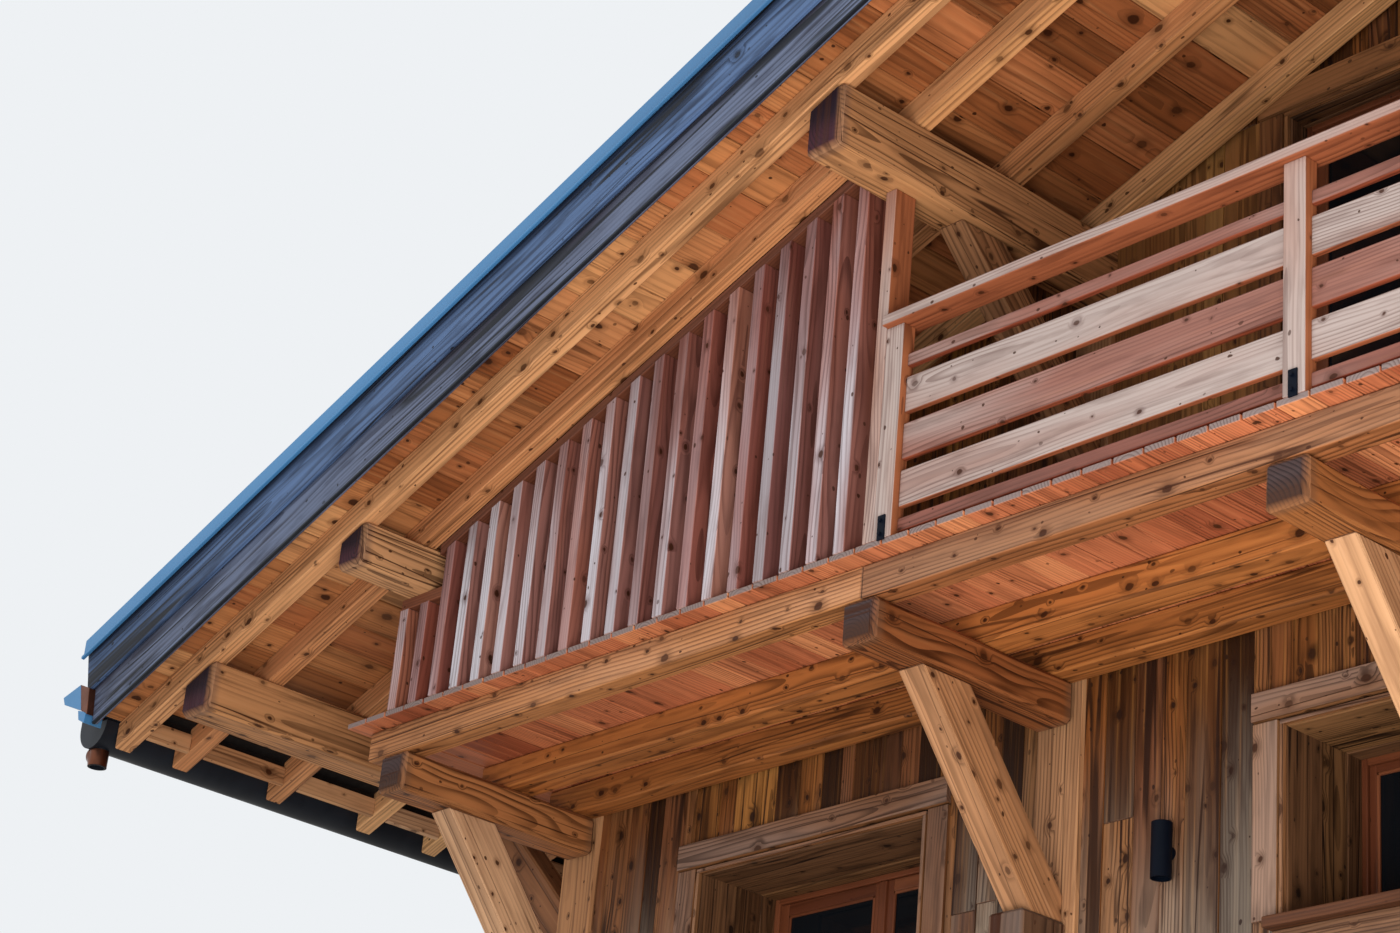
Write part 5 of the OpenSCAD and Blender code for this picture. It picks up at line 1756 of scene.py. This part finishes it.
@dataclass
class Balcony:
    """Consoles, struts, beams, deck, railing and slatted screens."""

    console_x: tuple[float, ...] = (1.152, 3.328, 6.518)
    console_w: float = 0.2
    console_h: float = 0.195
    console_set: float = 0.092
    beam_h: float = 0.15
    beam_set: float = 0.105
    beam_w: float = 0.125
    beam_x: tuple[float, ...] = (-6.74, -3.328, 3.328, 6.74)
    joist_set: float = 0.74
    joist_w: tuple[float, float] = (0.17, 0.135)
    joist_half: float = 6.66
    plank_pitch: float = 0.1535
    plank_gap: float = 0.008
    deck_half: float = 6.8
    deck_t: float = 0.028
    rail_half: float = 3.169
    rail_top: float = 0.975
    rail_t: float = 0.05
    board_heights: tuple[float, ...] = (0.06, 0.165, 0.165, 0.165, 0.06)
    board_gap: float = 0.05
    board_low: float = 0.025
    rail_tones: tuple[float, ...] = (0.13, 0.69, 0.39, 0.56, 0.25)
    post_w: float = 0.102
    post_d: float = 0.07
    tall_w: float = 0.062
    slat_w: float = 0.065
    slat_d: float = 0.125
    slat_count: int = 20
    slat_start: float = 0.108
    top_rail_h: float = 0.055

    def build(self) -> None:
        """Builds the balcony from its consoles up."""
        self.carriers()
        self.deck()
        self.railing()
        self.screens()
        plates = bevelled(own_mesh("railing_brackets", "post_brackets"), 0.0012)
        Finishes.STEEL.dress(plates, "post_brackets")

    def carriers(self) -> None:
        """Hewn consoles, struts, corbel blocks, edge beam and joists."""
        wall, y, z = HOUSE.front_y - HOUSE.post_out, HOUSE.deck_y, HOUSE.joist_z
        top = z + self.beam_h
        bars = Members("console_timbers", 301, 0.02, Blank.HEWN, 0.0014, Grain((0, 0.02, 0.03)), 0.026)
        half = self.console_w / 2
        for x in (side * x for side in (-1, 1) for x in self.console_x):
            bars.box((x - half, y + self.console_set, z - self.console_h), (x + half, wall, z), "y")
        Finishes.CONSOLE.dress(bars.build(), "consoles")

        def slanting(centre: np.ndarray) -> tuple[Vec, Vec]:
            """Directions along and up from a strut, wherever it stands."""
            return (0, -0.71, 0.875), (0, -0.875, -0.71)

        Finishes.STRUT.dress(Carved("strut_timbers", "struts", 302, slanting, 0.009).build(), "struts")
        Finishes.CORBEL.dress(Carved("corbel_blocks", "corbels", 303, upright, 0.014).build(), "corbels")
        beams = Members("edge_beam_timbers", 304, 0.007, Blank.HEWN, 0.0008, Grain((0, 0.02, 0.06)))
        front, reach = y + self.beam_set, self.joist_half
        left, *_, right = self.beam_x
        for a, b in ((left, -3.3295), (-3.3265, 3.3265), (3.3295, right)):
            beams.box((a, front, z), (b, front + self.beam_w, top), "x")
        Finishes.EDGE.dress(beams.build(), "edge_beams")
        joists = Members("joist_timbers", 305, 0.009, Blank.HEWN, 0.001, Grain((0, 0.02, 0.05)))
        for front, w in zip((y + self.joist_set, wall - self.joist_w[1]), self.joist_w):
            joists.box((-reach, front, z), (reach, front + w, top), "x")
        Finishes.JOIST.dress(joists.build(), "deck_joists")

    def deck(self) -> None:
        """Deck planks laid from the wall to the edge."""
        planks = Members("deck_plank_row", 311, 0.004, grain=Grain((0, 0.02, 0.05)))
        rng = np.random.default_rng(312)
        x = -self.deck_half
        while x < self.deck_half - 0.03:
            to = min(x + self.plank_pitch, self.deck_half + self.plank_gap)
            low = (x, HOUSE.deck_y + rng.uniform(0, 0.004), HOUSE.deck_z - self.deck_t)
            planks.box(low, (to - self.plank_gap, HOUSE.front_y, HOUSE.deck_z), "y")
            x = to
        Finishes.DECK.dress(planks.build(), "balcony_deck")

    def railing(self) -> None:
        """Posts, boards and handrail between the screens."""
        deck, y, half, rail = HOUSE.deck_z, HOUSE.deck_y, self.post_w / 2, HOUSE.deck_z + self.rail_top
        pitch = (2 * self.rail_half - self.post_w) / 3
        middles = [(k - 1.5) * pitch for k in range(4)]
        grain = Grain((0, 0.02, 0.04), tone=(0.6, 1.0))
        posts = Members("railing_posts", 321, 0.004, Blank.ROUNDED, grain=grain)
        for x in middles:
            posts.box((x - half, y, deck), (x + half, y + self.post_d, rail), "z")
        tall = HOUSE.seat(HOUSE.upper_purlin_x) - 0.28
        for side in (-1, 1):
            a, b = sorted((side * self.rail_half, side * (self.rail_half + self.tall_w)))
            posts.box((a, y, deck), (b, y + 0.12, tall), "z")
        Finishes.RAILING.dress(posts.build(), "balcony_posts")
        boards = Members("railing_board_set", 322, 0.006, Blank.ROUNDED, grain=Grain((0, 0.03, 0.06)))
        for a, b in zip(middles, middles[1:]):
            z = deck + self.board_low
            for h, tone in zip(self.board_heights, self.rail_tones):
                boards.box((a + half, y + 0.034, z), (b - half, y + 0.062, z + h), "x", tone)
                z += h + self.board_gap
        Finishes.RAILING.dress(boards.build(), "railing_boards")
        handrail = Members("handrail_timber", 323, 0.007, Blank.ROUNDED, grain=Grain((0, 0.02, 0.05)))
        reach = self.rail_half
        handrail.box((-reach, y - 0.032, rail), (reach, y + 0.108, rail + self.rail_t), "x")
        Finishes.RAILING.dress(handrail.build(), "handrail")

    def screens(self) -> None:
        """Upright slats under a rail that follows the roof, one screen each side of the railing."""
        slats = Members("screen_slats", 331, 0.004, grain=Grain((0, 0.02, 0.04)))
        rails = Members("screen_top_rails", 332, 0.004, grain=Grain((0, 0.02, 0.04)))
        deck, y, purlin, w = HOUSE.deck_z, HOUSE.deck_y, HOUSE.wall_purlin_x, self.slat_w
        start = self.rail_half + self.tall_w + self.slat_start
        tip = purlin + 0.1 + 0.032
        pitch = (tip - w - start) / (self.slat_count - 1)
        low_a, low_b = purlin - 0.13, purlin + 0.13
        low_z = HOUSE.seat(purlin) - 0.19 - self.top_rail_h
        ys = (y, y + self.slat_d)
        rail_y = (y + 0.005, y + 0.12)
        for side in (-1, 1):
            for a in (start + k * pitch for k in range(self.slat_count)):
                under = a + w > low_a and a < low_b
                tops = [low_z if under else HOUSE.seat(x) - 0.063 for x in (a, a + w)]
                sides = list(zip((a, a + w), tops))
                foot = [[(side * x, v, deck) for v in ys] for x, _ in sides]
                slats.add(np.array([foot, [[(side * x, v, top) for v in ys] for x, top in sides]], float))
            rails.add(HOUSE.slope_bar(side, self.rail_half + self.tall_w, low_a, -0.063, -0.008, *rail_y))
            a, b = sorted((side * (low_a - w), side * tip))
            rails.box((a, rail_y[0], low_z), (b, rail_y[1], low_z + self.top_rail_h), "x")
        Finishes.LARCH.dress(slats.build(), "slat_screens")
        Finishes.DARK_LARCH.dress(rails.build())


@dataclass
class Lamps:
    """Black cylinder lights on the front wall."""

    x: float = 2.705
    low: float = 4.595
    height: float = 0.238
    radius: float = 0.044
    rim: float = 0.005
    recess: float = 0.018
    plate_t: float = 0.02
    plate_radius: float = 0.03

    def body(self, name: str, side: int) -> bpy.types.Object:
        """One lamp: a tube with recessed ends, on its round plate.

        Args:
            name: The lamp's name.
            side: 1 right of the ridge, -1 left of it.

        Returns:
            The lamp.
        """
        x, z, cylinder = side * self.x, self.low + self.height / 2, bpy.ops.mesh.primitive_cylinder_add
        at = (x, HOUSE.front_y - self.plate_t - self.radius, z)
        tube = started(cylinder, name, vertices=40, radius=self.radius, depth=self.height, location=at)
        with editing(tube, lambda face: abs(face.normal.z) > 0.9):
            bpy.ops.mesh.inset(thickness=self.rim, use_individual=True)
            bpy.ops.mesh.extrude_region_shrink_fatten(TRANSFORM_OT_shrink_fatten={"value": -self.recess})
        place(tube)
        at, depth = (x, HOUSE.front_y - self.plate_t / 2 - 0.008, z), self.plate_t + 0.03
        sizes = {"vertices": 40, "radius": self.plate_radius, "depth": depth, "rotation": (math.pi / 2, 0, 0)}
        plate = started(cylinder, "lamp_plate", location=at, **sizes)
        place(plate)
        return smoothed(bevelled(joined([tube, bevelled(plate, 0.002, 2)], name), 0.001), 0.6)

    def build(self) -> None:
        """Builds the two lamps."""
        pair = [self.body(name, side) for name, side in (("left_wall_lamp", -1), ("right_wall_lamp", 1))]
        Finishes.STEEL.dress(joined(pair, "wall_lamps"), "wall_lights")


@dataclass
class Covering:
    """The standing-seam covering, its ridge cap and the deck beneath, whose solids stay."""

    def build(self) -> None:
        """Gives the roof's solids their finishes."""
        for node in ("left_roof_covering", "right_roof_covering", "ridge_cap"):
            Finishes.ROOF.paint(node)
        for node in ("left_roof_deck", "right_roof_deck"):
            Finishes.FIBRE.paint(node)


# Studio


@dataclass
class Studio:
    """Plain pale floor and backdrop, soft light, and the camera at the photograph's angle."""

    eye: Vec = (5.059, -14.065, 0.721)
    right: Vec = (0.66682493, 0.74009573, 0.08719415)
    down: Vec = (-0.26348754, 0.34359942, -0.90139545)
    forward: Vec = (-0.69707879, 0.57809838, 0.42412666)
    lens_mm: float = 78.295
    floor_size: float = 500.0
    floor_colour: str = "#dcd9d4"
    backdrop: str = "#eef1f4"
    sky: float = 0.54
    key_power: float = 1600.0
    fill_power: float = 1250.0

    def build(self) -> None:
        """Builds the studio."""
        self.camera()
        self.floor()
        self.world()
        self.lamp("key_light", (-9, -26, 17), (-1, -5, 5), 14.0, self.key_power)
        self.lamp("low_fill", (2.2, -11, 1.0), (1.2, -9, 8), 9.0, self.fill_power)

    def stand(self, thing: bpy.types.Object, at: Vec, right: Sequence, up: Sequence, back: Sequence) -> None:
        """Stands a camera or lamp at a place by its own directions."""
        bpy.context.scene.collection.objects.link(thing)
        thing.matrix_world = Matrix.Translation(at) @ Matrix((right, up, back)).transposed().to_4x4()

    def camera(self) -> None:
        """Places the camera by the directions measured in the photograph."""
        data = bpy.data.cameras.new("camera")
        data.sensor_width, data.lens, data.clip_end = 36.0, self.lens_mm, 500
        camera = bpy.data.objects.new("camera", data)
        self.stand(camera, self.eye, self.right, [-c for c in self.down], [-c for c in self.forward])
        bpy.context.scene.camera = camera

    def floor(self) -> None:
        """A wide pale floor just under the house."""
        plane = bpy.ops.mesh.primitive_plane_add
        floor = started(plane, "studio_floor", size=self.floor_size, location=(0, 0, -0.002))
        place(floor)
        floor.data.materials.append(Matt("matt_studio_floor", self.floor_colour).build())

    def world(self) -> None:
        """Even light from all round, with the pale backdrop where the camera, gloss and glass look at it."""
        world = bpy.data.worlds.new("studio")
        bpy.context.scene.world = world
        world.use_nodes = True
        tree = world.node_tree
        tree.nodes.clear()
        seen = add_node(tree, Step.PATH)
        path = seen.node.outputs
        for other in ("Is Glossy Ray", "Is Transmission Ray"):
            seen = add_node(tree, Step.GREATER, seen, path[other])
        light = add_node(tree, Step.GLOW, "#ffffff", self.sky)
        shown = add_node(tree, Step.GLOW, self.backdrop, 1.0)
        connect(tree.nodes.new("ShaderNodeOutputWorld"), {0: add_node(tree, Step.CHOICE, seen, light, shown)})

    def lamp(self, name: str, at: Vec, to: Vec, size: float, power: float) -> None:
        """Adds a large soft lamp that faces a point."""
        data = bpy.data.lights.new(name, "AREA")
        data.shape, data.size, data.energy = "DISK", size, power
        lamp = bpy.data.objects.new(name, data)
        lamp.visible_camera = lamp.visible_glossy = False
        back = unit(np.array(at, float) - np.array(to, float))
        side = unit(np.cross((0, 0, 1), back))
        self.stand(lamp, at, side, np.cross(back, side), back)


def main() -> None:
    """Builds the studio and every sub-assembly in order."""
    logging.basicConfig(level=logging.INFO, format="%(name)s: %(message)s")
    bpy.context.scene.view_settings.view_transform = "Standard"
    roof = (Covering, Rafters, Soffit, Purlins, Braces, Verges, Gutters)
    for part in (Studio, *roof, Walls, Joinery, Entrance, Balcony, Lamps):
        log.info("building %s", part.__name__)
        part().build()


if __name__ == "__main__":
    main()
